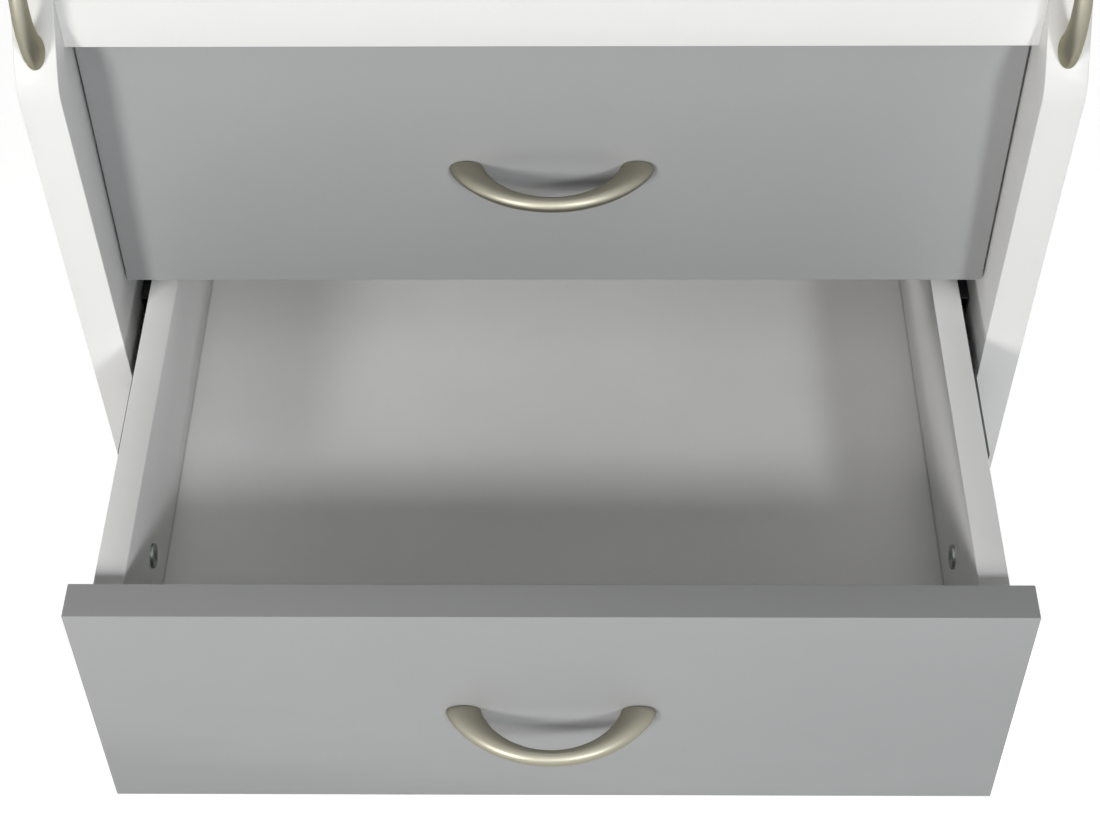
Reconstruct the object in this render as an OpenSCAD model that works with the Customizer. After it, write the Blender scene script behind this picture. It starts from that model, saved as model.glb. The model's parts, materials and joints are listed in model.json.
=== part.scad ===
// Two-drawer pedestal on casters, with kneed side cheeks and a gallery top.
// X runs to the right, Y to the back and Z up. The origin lies on the floor,
// at the centre of the footprint with the lower drawer pulled out as drawn.

/* [Drawer fronts] */
// Width of a drawer front
front_w = 500; // [440:5:600]
// Height of a drawer front
front_h = 173; // [165:1:220]
// Thickness of a drawer front
front_t = 21; // [18:0.5:25]
// Gap above and below a drawer front
front_gap = 3.5; // [2.5:0.1:5]
// Gap between a front and the cheek beside it
side_gap = 1.6; // [1:0.1:3]
// How far the lower drawer stands open
lower_open = 240; // [0:10:380]

/* [Carcass] */
// Thickness of the cheeks, base, top and fascia
board_t = 22; // [18:0.5:25]
// Back edge of the cheeks, measured from the face of the closed fronts
carcass_back = 450; // [444:2:520]
// How far the knee of a cheek stands out before the closed fronts
knee_out = 38.4; // [34:0.2:50]
// Lean of a cheek's front edge below the knee, in degrees
toe_lean = 2.6; // [0:0.2:4]
// Lean of a cheek's shoulder above the knee, in degrees from upright
shoulder_lean = 33.8; // [28:0.2:38]
// Height of the shoulder above the knee
shoulder_h = 112; // [108:1:140]
// Radius on the knee of a cheek
knee_r = 26; // [5:1:40]
// Radius on the upper corners of a cheek
crown_r = 14; // [4:1:24]
// Gap between the upper front and the fascia
fascia_gap = 8; // [4:0.5:12]
// Height of the fascia
fascia_h = 32; // [26:1:45]
// How far the fascia stands out before the closed fronts
fascia_out = 11.6; // [4:0.2:16]
// Thickness of the back panel
back_t = 6; // [4:0.5:9]
// How far the back panel lies in from the cheeks' back edges
back_inset = 3; // [2.6:0.2:8]
// Height of the guard above the top
guard_h = 60; // [44:1:80]
// How far the base's front edge lies behind the face of the fronts
base_setback = 2; // [0:1:10]

/* [Drawer boxes] */
// Thickness of the sides and back of a drawer box
box_t = 16; // [15:0.5:18]
// Height of a drawer side's lower edge above the front's lower edge
side_low = 60; // [58:1:60]
// Height of a drawer side's upper edge above the front's lower edge
side_high = 165; // [160:1:165]
// Height of the bottom's underside above the front's lower edge
bottom_low = 77.6; // [77:0.1:78]
// Thickness of the bottom
bottom_t = 5; // [3:0.2:5.2]
// Depth of the groove that holds the bottom
groove_d = 5; // [3:0.2:5]
// Play of the bottom in its groove, above and below
groove_play = 0.1; // [0.05:0.05:0.2]

/* [Runners] */
// Length of the runners and of the drawer sides
runner_l = 400; // [350:10:400]
// Gap between a drawer side and a cheek, which a runner fills
runner_gap = 12.5; // [12.4:0.1:13]
// Height of a runner
runner_h = 45; // [44:0.5:46]
// Height of a runner's centre line above the front's lower edge
runner_up = 116; // [114:0.5:117]
// Distance from a front's back face to the end of its runner
runner_setback = 2; // [1:0.5:4]
// Sheet thickness of the runner members
sheet_t = 1.2; // [1:0.05:1.3]
// Diameter of a ball
ball_d = 3.5; // [3.2:0.1:3.6]
// Play of a ball in its track, above and below
ball_play = 0.1; // [0.05:0.05:0.15]
// Length of a ball cage
cage_l = 150; // [100:10:180]

/* [Bow handles] */
// Distance between the fixings of a handle
handle_c = 96; // [88:2:104]
// How far the middle line of a handle stands out
handle_out = 30.2; // [24:0.2:34]
// Diameter at the middle of a handle
handle_d = 8.6; // [7:0.2:11]
// Angle that a handle's bow turns through from its middle to each foot
bow_turn = 68; // [50:1:80]
// Width of a handle's foot, along the handle
foot_w = 19; // [16:0.5:21]
// Height of a handle's foot, across the handle
foot_h = 11.4; // [10:0.2:14]
// Height of a handle above the front's lower edge
handle_up = 87.6; // [86.4:0.1:120]
// Distance from the knee to a cheek handle's middle, up the shoulder
cheek_handle_up = 68.5; // [62:0.5:75]

/* [Casters] */
// Height of the base above the floor
caster_h = 68; // [64:1:85]
// Radius of a wheel
wheel_r = 25; // [20:0.5:26]
// Width of a wheel
wheel_w = 18; // [14:1:22]
// Distance from the swivel axis to the axle
trail = 22; // [16:1:26]
// Distance of a swivel axis from the pedestal's middle plane
caster_x = 200; // [150:2:202]
// Distance of the front swivel axes behind the face of the fronts
caster_front_y = 56; // [50:2:80]
// Distance of the rear swivel axes before the cheeks' back edges
caster_back_in = 50; // [44:2:80]

/* [Hidden] */

// Names for the two drawers and the two sides
UPPER = 0;
LOWER = 1;
LEFT = -1;
RIGHT = 1;
SIDES = [LEFT, RIGHT];
FRONT = 0;
REAR = 1;

// Clearances: a fixed fit, a running fit, and a free gap between moving pieces
fit = 0.05;
run = 0.05;
free = 0.3;
// Spare length at the end of a blind hole, and overshoot of a cut
hole_end = 0.5;
over = 1;
round_fn = 48;
small_fn = 32;

// Colours
white = [0.93, 0.93, 0.92];
grey = [0.62, 0.63, 0.64];
nickel = [0.72, 0.69, 0.6];
zinc = [0.75, 0.76, 0.78];
runner_steel = [0.33, 0.33, 0.34];
beech = [0.78, 0.63, 0.44];
rubber = [0.16, 0.16, 0.17];

// Carcass
inner_x = front_w / 2 + side_gap;
outer_x = inner_x + board_t;
base_top = caster_h + board_t;
lower_z = base_top + front_gap;
upper_z = lower_z + front_h + front_gap;
knee_z = upper_z + front_h;
fascia_z = knee_z + fascia_gap;
deck_z = fascia_z + fascia_h;
top_low = deck_z - board_t;
cheek_top = knee_z + shoulder_h;
shoulder_back = shoulder_h * tan(shoulder_lean) - knee_out;
toe_y = (knee_z - caster_h) * tan(toe_lean) - knee_out;
fascia_back = board_t - fascia_out;
panel_back = carcass_back - back_inset;
panel_front = panel_back - back_t;
guard_front = panel_front - board_t;
arc_steps = 8;

// Drawers: height of each, and how far each stands open
drawer_z = [upper_z, lower_z];
drawer_open = [0, lower_open];
side_x = inner_x - runner_gap;
side_in = side_x - box_t;
side_end = front_t + runner_l;
bottom_top = bottom_low + bottom_t;
runner_y = front_t + runner_setback;

// Share of a drawer's travel that each runner piece makes
middle_share = 0.5;
outer_cage_share = 0.25;
inner_cage_share = 0.75;

// Runner sections, measured from the cheek
cabinet_depth = 9.6;
lip_h = 1.5;
middle_web = 2.9;
middle_depth = 7.5;
drawer_member_lip = 5.6;
drawer_member_depth = runner_gap - drawer_member_lip;
cage_t = 0.6;
outer_cage_web = 1.7;
outer_cage_depth = 6.3;
inner_cage_web = 4.5;
inner_cage_depth = 4.5;
outer_ball_x = 5.6;
inner_ball_x = 7.2;
track_h = ball_d + 2 * ball_play;
cabinet_half = runner_h / 2;
middle_half = cabinet_half - sheet_t - track_h;
drawer_half = middle_half - sheet_t - track_h;
outer_ball_z = cabinet_half - sheet_t - track_h / 2;
inner_ball_z = middle_half - sheet_t - track_h / 2;
ball_hole_play = 0.15;
balls_per_row = 4;
ball_pitch = cage_l / balls_per_row;
cage_y = (runner_l - cage_l) / 2;
runner_hole_ys = [35, 131, 323];
runner_screw_l = 16;
runner_screw_r = 1.75;
runner_head_r = 3.2;

// Sleeve nuts behind each front, which clamp the drawer members
nut_ys = [62, 318];
nut_head_r = 7;
nut_head_t = 1.8;
nut_rim = 0.9;
nut_r = 3.5;
nut_core_r = 2;
nut_screw_l = 12;
nut_recess_l = 8;
screw_recess_l = 4;
recess_w = 1.4;
recess_d = 0.9;

// Cam fittings and dowels
cam_r = 7.5;
cam_set = 24;
cam_past = 2.8;
cam_slot_w = 2;
cam_slot_l = 9;
cam_slot_d = 2;
bolt_thread_r = 2.5;
bolt_thread_l = 10;
bolt_shank_r = 2;
bolt_head_r = 3;
bolt_head_l = 3.4;
bolt_head_past = 1;
bolt_collar_r = 3.5;
bolt_collar_t = 1.2;
bolt_bore_r = 3.6;
dowel_r = 4;
dowel_l = 30;

// Handles and their fixings
handle_rings = 36;
handle_sides = 20;
foot_swell = 2;
// Power that holds a handle's sections square to its bow until they lie flat at the feet
foot_square = 12;
handle_screw_r = 2;
handle_screw_in = 9;
screw_head_r = 3.5;
screw_head_t = 2.2;
screw_bore_r = 2.5;
stud_in_board = 30;

// Back panel screws
back_screw_r = 1.75;
back_screw_l = 18;
back_screw_head_t = 2;
back_screw_n = 4;

// Casters, with heights measured down from the base
plate_l = 60;
plate_w = 50;
plate_t = 2.5;
plate_hole_l = 44;
plate_hole_w = 34;
race_r = 16;
race_h = 2.7;
crown_r2 = 19;
crown_t = 3;
kingpin_r = 5;
rivet_r = 8;
rivet_t = 2;
leg_t = 2;
leg_gap = 1;
leg_foot_r = 8;
axle_r = 4;
axle_head_r = 5.5;
axle_head_t = 1.5;
hub_r = 9;
hub_recess = 2.5;
rim_h = 5;
dish_slope = 1;
tread_r = 3;
crown_z = -plate_t - race_h - free;
axle_z = wheel_r - caster_h;
caster_screw_r = 2;
caster_screw_l = 16;
caster_head_r = 4;
caster_head_t = 2;
caster_back_y = carcass_back - caster_back_in;
caster_ys = [caster_front_y, caster_back_y];

// Footprint, which sets the origin
footprint_front = -lower_open - handle_out - handle_d / 2;
origin_y = -(footprint_front + carcass_back) / 2;

// Places of the carcass fittings: [x, y, z], turn, half thickness of the board with the cam
panel_cam_ys = [130, 330];
guard_z = deck_z + guard_h / 2;
carcass_fittings = concat(
    [for (y = panel_cam_ys, z = [caster_h, top_low]) [[-inner_x, y, z + board_t / 2], [180, 0, 0]]],
    [for (y = panel_cam_ys, z = [caster_h, top_low]) [[inner_x, y, z + board_t / 2], [180, 0, 180]]],
    [[[-inner_x, guard_front + board_t / 2, guard_z], [-90, 0, 0]],
     [[inner_x, guard_front + board_t / 2, guard_z], [90, 0, 180]]]
);
// Dowels along X at the cheeks
panel_dowel_ys = [90, 230, 400];
fascia_mid_y = fascia_back - board_t / 2;
cheek_dowels = concat(
    [for (s = SIDES, y = panel_dowel_ys, z = [caster_h, top_low]) [s * inner_x, y, z + board_t / 2]],
    [for (s = SIDES) [s * inner_x, fascia_mid_y, fascia_z + fascia_h / 2]],
    [for (s = SIDES, z = [-1, 1]) [s * inner_x, guard_front + board_t / 2, guard_z + z * guard_h / 3]]
);
// Dowels along Y that join the top to the fascia before it and the guard behind it
top_dowel_n = 3;
top_dowel_pitch = front_w / top_dowel_n;

// Places of a drawer's fittings, in the drawer's own frame
box_cam_low = 9;
box_cam_high = 15;
box_cam_zs = [side_low + box_cam_low, side_high - box_cam_high];
back_mid_z = (bottom_top + side_high) / 2;
back_mid_y = side_end - box_t / 2;
drawer_fittings = concat(
    [for (z = box_cam_zs) [[-side_x + box_t / 2, front_t, z], [-90, 0, 90]]],
    [for (z = box_cam_zs) [[side_x - box_t / 2, front_t, z], [90, 0, 90]]],
    [[[-side_in, back_mid_y, back_mid_z], [-90, 0, 0]],
     [[side_in, back_mid_y, back_mid_z], [90, 0, 180]]]
);

// A corner of an outline rounded to radius r, between its neighbours a and c
function corner(a, b, c, r) =
    let (
        u = (a - b) / norm(a - b),
        v = (c - b) / norm(c - b),
        half = acos(u * v) / 2,
        centre = b + (u + v) / norm(u + v) * r / sin(half),
        start = b + u * r / tan(half) - centre,
        end = b + v * r / tan(half) - centre,
        a0 = atan2(start.y, start.x),
        sweep = (atan2(end.y, end.x) - a0 + 540) % 360 - 180
    )
    [for (i = [0 : arc_steps])
        centre + r * [cos(a0 + sweep * i / arc_steps), sin(a0 + sweep * i / arc_steps)]];

// Puts a piece of the carcass in its place
module in_carcass() {
    translate([0, origin_y, 0]) children();
}

// Puts a piece in the frame of a drawer: the front's lower edge, at its face
module in_drawer(drawer) {
    translate([0, origin_y - drawer_open[drawer], drawer_z[drawer]]) children();
}

// Puts a piece in the frame of a runner, which has travelled its share with the drawer.
// The left piece is the mirror image of the right one.
module in_runners(drawer, share) {
    for (side = SIDES)
        translate([side * inner_x, origin_y + runner_y - share * drawer_open[drawer],
                   drawer_z[drawer] + runner_up])
            scale_side(side) children();
}

// Turns +X towards the middle of the pedestal
module scale_side(side) {
    if (side == RIGHT) mirror([1, 0, 0]) children();
    else children();
}

// Puts children at each place of a list of fittings
module at_fittings(places) {
    for (place = places) translate(place[0]) rotate(place[1]) children();
}

// Cuts for one cam fitting, in both boards of a joint
module fitting_cut(half_t) {
    rotate([0, -90, 0]) cylinder(r = bolt_thread_r + fit, h = bolt_thread_l + hole_end, $fn = small_fn);
    rotate([0, 90, 0]) cylinder(r = bolt_bore_r, h = cam_set, $fn = small_fn);
    translate([cam_set, 0, -cam_past - hole_end / 2])
        cylinder(r = cam_r + fit, h = half_t + cam_past + over, $fn = round_fn);
}

// Bolt of a cam fitting: its thread points to -X and its head to +X
module cam_bolt() {
    rotate([0, -90, 0]) cylinder(r = bolt_thread_r, h = bolt_thread_l, $fn = small_fn);
    rotate([0, 90, 0]) {
        cylinder(r = bolt_collar_r, h = bolt_collar_t, $fn = small_fn);
        cylinder(r = bolt_shank_r, h = cam_set, $fn = small_fn);
    }
    translate([cam_set + bolt_head_past - bolt_head_l, 0, 0]) rotate([0, 90, 0])
        cylinder(r = bolt_head_r, h = bolt_head_l, $fn = small_fn);
}

// Cam of a fitting, hollow where the bolt's head lies, with a cross recess
module cam(half_t) {
    translate([cam_set, 0, 0]) difference() {
        translate([0, 0, -cam_past]) cylinder(r = cam_r, h = half_t + cam_past, $fn = round_fn);
        translate([-cam_r - over, 0, 0]) rotate([0, 90, 0])
            cylinder(r = bolt_head_r + fit, h = cam_r + over + bolt_head_past + hole_end, $fn = small_fn);
        for (turn = [45, 135]) rotate(turn)
            translate([-cam_slot_l / 2, -cam_slot_w / 2, half_t - cam_slot_d])
                cube([cam_slot_l, cam_slot_w, cam_slot_d + over]);
    }
}

// A dowel centred on the origin, along X, or its hole with play round it and spare length
module dowel(play = 0, spare = 0) {
    rotate([0, 90, 0])
        cylinder(r = dowel_r + play, h = dowel_l + 2 * spare, center = true, $fn = small_fn);
}

// All dowels of the carcass, or their holes
module dowel_set(play = 0, spare = 0) {
    for (place = cheek_dowels) translate(place) dowel(play, spare);
    for (y = [fascia_back, guard_front], i = [0 : top_dowel_n - 1])
        translate([(i - (top_dowel_n - 1) / 2) * top_dowel_pitch, y, deck_z - board_t / 2])
            rotate([0, 0, 90]) dowel(play, spare);
}

// Outline of a cheek in Y and Z
function cheek_outline() =
    let (
        toe = [toe_y, caster_h],
        knee = [-knee_out, knee_z],
        crown = [shoulder_back, cheek_top],
        heel = [carcass_back, cheek_top]
    )
    concat(
        [toe],
        corner(toe, knee, crown, knee_r),
        corner(knee, crown, heel, crown_r),
        corner(crown, heel, [carcass_back, caster_h], crown_r),
        [[carcass_back, caster_h]]
    );

// Puts a cheek handle on the shoulder of a cheek
module on_shoulder(side) {
    translate([side * (inner_x + board_t / 2), -knee_out, knee_z])
        rotate([-shoulder_lean, 0, 0])
            translate([0, 0, cheek_handle_up])
                rotate([0, -90, 0]) rotate([90, 0, 0]) children();
}

// A cheek, bored for its fittings, dowels, runner screws and handle studs
module cheek(side) {
    color(white) in_carcass() difference() {
        translate([side == LEFT ? -outer_x : inner_x, 0, 0])
            rotate([90, 0, 90]) linear_extrude(board_t) polygon(cheek_outline());
        at_fittings(carcass_fittings) fitting_cut(board_t / 2);
        dowel_set(fit, hole_end);
        on_shoulder(side)
            for (u = [-1, 1] * handle_c / 2)
                translate([u, 0, -stud_in_board - hole_end])
                    cylinder(r = handle_screw_r + fit, h = stud_in_board + hole_end + over, $fn = small_fn);
        for (z = drawer_z, y = runner_hole_ys)
            translate([side * (inner_x + (runner_screw_l + hole_end) / 2), runner_y + y, z + runner_up])
                rotate([0, 90, 0])
                    cylinder(r = runner_screw_r + fit, h = runner_screw_l + hole_end + over,
                             center = true, $fn = small_fn);
    }
}

// A board between the cheeks, from y0 to y1 and z0 to z1, bored for fittings and dowels
module cross_board(y0, y1, z0, z1) {
    difference() {
        translate([-inner_x, y0, z0]) cube([2 * inner_x, y1 - y0, z1 - z0]);
        at_fittings(carcass_fittings) fitting_cut(board_t / 2);
        dowel_set(fit, hole_end);
        back_screw_places() translate([0, 0, -back_screw_l])
            cylinder(r = back_screw_r + fit, h = back_screw_l, $fn = small_fn);
    }
}

module base_panel() {
    color(white) in_carcass() difference() {
        cross_board(base_setback, panel_front, caster_h, base_top);
        caster_places() plate_holes()
            cylinder(r = caster_screw_r + fit, h = caster_screw_l - plate_t + hole_end, $fn = small_fn);
    }
}

module top_panel() {
    color(white) in_carcass() cross_board(fascia_back, guard_front, top_low, deck_z);
}

module fascia() {
    color(white) in_carcass() cross_board(-fascia_out, fascia_back, fascia_z, deck_z);
}

// Guard behind the top panel, with the upper edge of the back panel screwed to it
module back_guard() {
    color(white) in_carcass() cross_board(guard_front, panel_front, top_low, deck_z + guard_h);
}

// Places of the back panel's screws, with Z out of the back
module back_screw_places() {
    pitch = 2 * inner_x / back_screw_n;
    for (i = [0 : back_screw_n - 1], z = [caster_h, top_low])
        translate([(i - (back_screw_n - 1) / 2) * pitch, panel_back, z + board_t / 2])
            rotate([-90, 0, 0]) children();
}

module back_panel() {
    color(white) in_carcass() difference() {
        translate([-inner_x, panel_front, caster_h]) cube([2 * inner_x, back_t, deck_z - caster_h]);
        back_screw_places()
            translate([0, 0, -back_t - over])
                cylinder(r = back_screw_r + fit, h = back_t + 2 * over, $fn = small_fn);
    }
}

module back_panel_screws() {
    color(zinc) in_carcass() back_screw_places() {
        difference() {
            cylinder(r = screw_head_r, h = back_screw_head_t, $fn = small_fn);
            cross_recess(back_screw_head_t);
        }
        translate([0, 0, -back_screw_l + hole_end])
            cylinder(r = back_screw_r, h = back_screw_l - hole_end, $fn = small_fn);
    }
}

// Cross recess cut into a screw head whose top is at height z
module cross_recess(z, length = screw_recess_l) {
    for (turn = [0, 90]) rotate(turn)
        translate([-length / 2, -recess_w / 2, z - recess_d])
            cube([length, recess_w, recess_d + over]);
}

module carcass_cams() {
    color(zinc) in_carcass() at_fittings(carcass_fittings) cam(board_t / 2);
}

module carcass_cam_bolts() {
    color(zinc) in_carcass() at_fittings(carcass_fittings) cam_bolt();
}

module carcass_dowels() {
    color(beech) in_carcass() dowel_set();
}

// Bow handle: feet at z = 0, bow along X, standing out to +Z. Its middle line is part of
// an ellipse, which meets the feet at a slant
module bow_handle() {
    reach_x = handle_c / 2 / sin(bow_turn);
    reach_z = handle_out / (1 - cos(bow_turn));
    function share(i) = 1 - 2 * i / handle_rings;
    function swell(u) = pow(abs(u), foot_swell);
    function half_w(u) = (handle_d + (foot_w - handle_d) * swell(u)) / 2;
    function half_h(u) = (handle_d + (foot_h - handle_d) * swell(u)) / 2;
    function middle(a) = [reach_x * sin(a), 0, reach_z * (cos(a) - cos(bow_turn))];
    function outward(a, u) =
        let (n = [reach_z * sin(a), 0, reach_x * cos(a) * (1 - pow(abs(u), foot_square))]) n / norm(n);
    points = [
        for (i = [0 : handle_rings], j = [0 : handle_sides - 1])
            let (u = share(i), a = u * bow_turn, b = 360 * j / handle_sides)
            middle(a) + half_w(u) * cos(b) * outward(a, u) + half_h(u) * sin(b) * [0, 1, 0]
    ];
    function at(i, j) = i * handle_sides + j % handle_sides;
    walls = [
        for (i = [0 : handle_rings - 1], j = [0 : handle_sides - 1], half = [0, 1])
            half == 0 ? [at(i, j), at(i, j + 1), at(i + 1, j + 1)]
                      : [at(i, j), at(i + 1, j + 1), at(i + 1, j)]
    ];
    feet = [
        [for (j = [handle_sides - 1 : -1 : 0]) at(0, j)],
        [for (j = [0 : handle_sides - 1]) at(handle_rings, j)]
    ];
    difference() {
        polyhedron(points, concat(walls, feet));
        for (x = [-1, 1] * handle_c / 2)
            translate([x, 0, -over])
                cylinder(r = handle_screw_r + fit, h = handle_screw_in + hole_end + over, $fn = small_fn);
    }
}

module cheek_handle(side) {
    color(nickel) in_carcass() on_shoulder(side) bow_handle();
}

module cheek_handle_studs() {
    color(zinc) in_carcass() for (side = SIDES) on_shoulder(side)
        for (x = [-1, 1] * handle_c / 2)
            translate([x, 0, -stud_in_board])
                cylinder(r = handle_screw_r, h = stud_in_board + handle_screw_in, $fn = small_fn);
}

// Section of a runner member: a web with two flanges and lips, in X and Z, half height given
module channel(half_h, depth, lip) {
    rotate([90, 0, 0]) translate([0, 0, -runner_l]) linear_extrude(runner_l) polygon(concat(
        [[0, -half_h], [depth, -half_h]],
        [[depth, -half_h + sheet_t + lip], [depth - sheet_t, -half_h + sheet_t + lip]],
        [[depth - sheet_t, -half_h + sheet_t], [sheet_t, -half_h + sheet_t]],
        [[sheet_t, half_h - sheet_t], [depth - sheet_t, half_h - sheet_t]],
        [[depth - sheet_t, half_h - sheet_t - lip], [depth, half_h - sheet_t - lip]],
        [[depth, half_h], [0, half_h]]
    ));
}

// Countersunk screw through a runner's web: its head is flush at x = sheet_t, its point at -X
module runner_screw(length, play = 0) {
    rotate([0, 90, 0]) {
        cylinder(r1 = runner_screw_r + play, r2 = runner_head_r + play, h = sheet_t, $fn = small_fn);
        translate([0, 0, -length]) cylinder(r = runner_screw_r + play, h = length, $fn = small_fn);
    }
}

module cabinet_runners(drawer) {
    color(runner_steel) in_runners(drawer, 0) difference() {
        channel(cabinet_half, cabinet_depth, lip_h);
        for (y = runner_hole_ys) translate([0, y, 0]) runner_screw(over, fit);
    }
}

module cabinet_runner_screws() {
    color(zinc) for (drawer = [UPPER, LOWER]) in_runners(drawer, 0)
        for (y = runner_hole_ys) translate([0, y, 0]) difference() {
            runner_screw(runner_screw_l);
            translate([sheet_t, 0, 0]) rotate([0, 90, 0]) cross_recess(0);
        }
}

module middle_runners(drawer) {
    color(runner_steel) in_runners(drawer, middle_share)
        translate([middle_web, 0, 0]) channel(middle_half, middle_depth, lip_h);
}

module drawer_runners(drawer) {
    color(runner_steel) in_runners(drawer, 1) difference() {
        translate([runner_gap, 0, 0]) mirror([1, 0, 0]) channel(drawer_half, drawer_member_depth, 0);
        for (y = nut_ys) translate([runner_gap, y - runner_setback, 0]) mirror([1, 0, 0])
            runner_screw(over, fit);
    }
}

// Ball cage: a strip with two arms, bored for its balls, and the balls in them
module ball_cage(web_x, depth, ball_x, ball_z) {
    arm_z = ball_z + cage_t / 2;
    difference() {
        translate([web_x, cage_y, 0]) {
            translate([0, 0, -arm_z]) cube([cage_t, cage_l, 2 * arm_z]);
            for (z = [-arm_z, arm_z - cage_t]) translate([0, 0, z]) cube([depth, cage_l, cage_t]);
        }
        ball_places(ball_x, ball_z)
            cylinder(r = ball_d / 2 + ball_hole_play, h = 2 * cage_t, center = true, $fn = small_fn);
    }
    ball_places(ball_x, ball_z) sphere(r = ball_d / 2, $fn = small_fn);
}

module ball_places(ball_x, ball_z) {
    for (z = [-ball_z, ball_z], i = [0 : balls_per_row - 1])
        translate([ball_x, cage_y + (i + 0.5) * ball_pitch, z]) children();
}

module outer_cages(drawer) {
    color(zinc) in_runners(drawer, outer_cage_share)
        ball_cage(outer_cage_web, outer_cage_depth, outer_ball_x, outer_ball_z);
}

module inner_cages(drawer) {
    color(zinc) in_runners(drawer, inner_cage_share)
        ball_cage(inner_cage_web, inner_cage_depth, inner_ball_x, inner_ball_z);
}

// The bottom of a drawer; with play it is the groove that holds it
module bottom_board(play = 0) {
    translate([-side_in - groove_d - play, front_t - groove_d - play, bottom_low - play])
        cube([2 * (side_in + groove_d + play), runner_l + groove_d + 2 * play, bottom_t + 2 * play]);
}

module drawer_front(drawer) {
    color(grey) in_drawer(drawer) difference() {
        translate([-front_w / 2, 0, 0]) cube([front_w, front_t, front_h]);
        intersection() {
            bottom_board(groove_play);
            translate([-front_w / 2, 0, 0]) cube([front_w, front_t + over, front_h]);
        }
        at_fittings(drawer_fittings) fitting_cut(box_t / 2);
        for (x = [-1, 1] * handle_c / 2)
            translate([x, -over, handle_up]) rotate([-90, 0, 0])
                cylinder(r = screw_bore_r, h = front_t + 2 * over, $fn = small_fn);
    }
}

module drawer_side(drawer, side) {
    color(white) in_drawer(drawer) difference() {
        translate([side == LEFT ? -side_x : side_in, front_t, side_low])
            cube([box_t, runner_l, side_high - side_low]);
        bottom_board(groove_play);
        at_fittings(drawer_fittings) fitting_cut(box_t / 2);
        for (y = nut_ys)
            translate([side * (side_x - box_t / 2), front_t + y, runner_up]) rotate([0, 90, 0])
                cylinder(r = nut_r + fit, h = box_t + 2 * over, center = true, $fn = small_fn);
    }
}

module drawer_back(drawer) {
    color(white) in_drawer(drawer) difference() {
        translate([-side_in, side_end - box_t, bottom_top])
            cube([2 * side_in, box_t, side_high - bottom_top]);
        at_fittings(drawer_fittings) fitting_cut(box_t / 2);
    }
}

module drawer_bottom(drawer) {
    color(white) in_drawer(drawer) bottom_board();
}

module drawer_cams(drawer) {
    color(zinc) in_drawer(drawer) at_fittings(drawer_fittings) cam(box_t / 2);
}

module drawer_cam_bolts(drawer) {
    color(zinc) in_drawer(drawer) at_fittings(drawer_fittings) cam_bolt();
}

// Sleeve nut through a drawer side: its head is on the inner face, and a countersunk
// screw through the drawer member of the runner draws it tight
module sleeve_nut() {
    difference() {
        union() {
            translate([-nut_head_t, 0, 0]) rotate([0, 90, 0])
                cylinder(r1 = nut_head_r - nut_rim, r2 = nut_head_r, h = nut_rim, $fn = round_fn);
            translate([nut_rim - nut_head_t, 0, 0]) rotate([0, 90, 0])
                cylinder(r = nut_head_r, h = nut_head_t - nut_rim, $fn = round_fn);
            rotate([0, 90, 0]) cylinder(r = nut_r, h = box_t - hole_end, $fn = small_fn);
        }
        translate([box_t - nut_screw_l - hole_end, 0, 0]) rotate([0, 90, 0])
            cylinder(r = nut_core_r + fit, h = nut_screw_l + hole_end + over, $fn = small_fn);
        translate([-nut_head_t, 0, 0]) rotate([0, -90, 0]) cross_recess(0, nut_recess_l);
    }
    translate([box_t, 0, 0]) difference() {
        rotate([0, 90, 0]) {
            cylinder(r1 = runner_screw_r, r2 = runner_head_r, h = sheet_t, $fn = small_fn);
            translate([0, 0, -nut_screw_l]) cylinder(r = runner_screw_r, h = nut_screw_l, $fn = small_fn);
        }
        translate([sheet_t, 0, 0]) rotate([0, 90, 0]) cross_recess(0);
    }
}

module sleeve_nuts(drawer) {
    color(zinc) in_drawer(drawer) for (side = SIDES, y = nut_ys)
        translate([side * side_in, front_t + y, runner_up])
            mirror([side == LEFT ? 1 : 0, 0, 0]) sleeve_nut();
}

module drawer_handle(drawer) {
    color(nickel) in_drawer(drawer)
        translate([0, 0, handle_up]) rotate([90, 0, 0]) bow_handle();
}

module handle_screws(drawer) {
    color(zinc) in_drawer(drawer)
        for (x = [-1, 1] * handle_c / 2)
            translate([x, front_t, handle_up]) rotate([-90, 0, 0]) {
                difference() {
                    cylinder(r = screw_head_r, h = screw_head_t, $fn = small_fn);
                    cross_recess(screw_head_t);
                }
                translate([0, 0, -front_t - handle_screw_in])
                    cylinder(r = handle_screw_r, h = front_t + handle_screw_in, $fn = small_fn);
            }
}

// Puts a piece at the swivel axis of one caster, at the base's underside
module at_caster(row, side) {
    translate([side * caster_x, caster_ys[row], caster_h]) children();
}

module caster_places() {
    for (row = [FRONT, REAR], side = SIDES) at_caster(row, side) children();
}

// Places of the four holes in a caster's plate
module plate_holes() {
    for (x = [-1, 1] * plate_hole_l / 2, y = [-1, 1] * plate_hole_w / 2)
        translate([x, y, 0]) children();
}

// Plate with the race below it and the kingpin, which carries the fork
module caster_plates() {
    color(zinc) in_carcass() caster_places() {
        difference() {
            translate([-plate_l / 2, -plate_w / 2, -plate_t]) cube([plate_l, plate_w, plate_t]);
            plate_holes() translate([0, 0, -plate_t - over])
                cylinder(r = caster_screw_r + fit, h = plate_t + 2 * over, $fn = small_fn);
        }
        translate([0, 0, -plate_t - race_h]) cylinder(r = race_r, h = race_h, $fn = round_fn);
        translate([0, 0, crown_z - crown_t - free])
            cylinder(r = kingpin_r, h = -crown_z + crown_t + free - plate_t, $fn = round_fn);
        translate([0, 0, crown_z - crown_t - free - rivet_t])
            cylinder(r = rivet_r, h = rivet_t, $fn = round_fn);
    }
}

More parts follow.
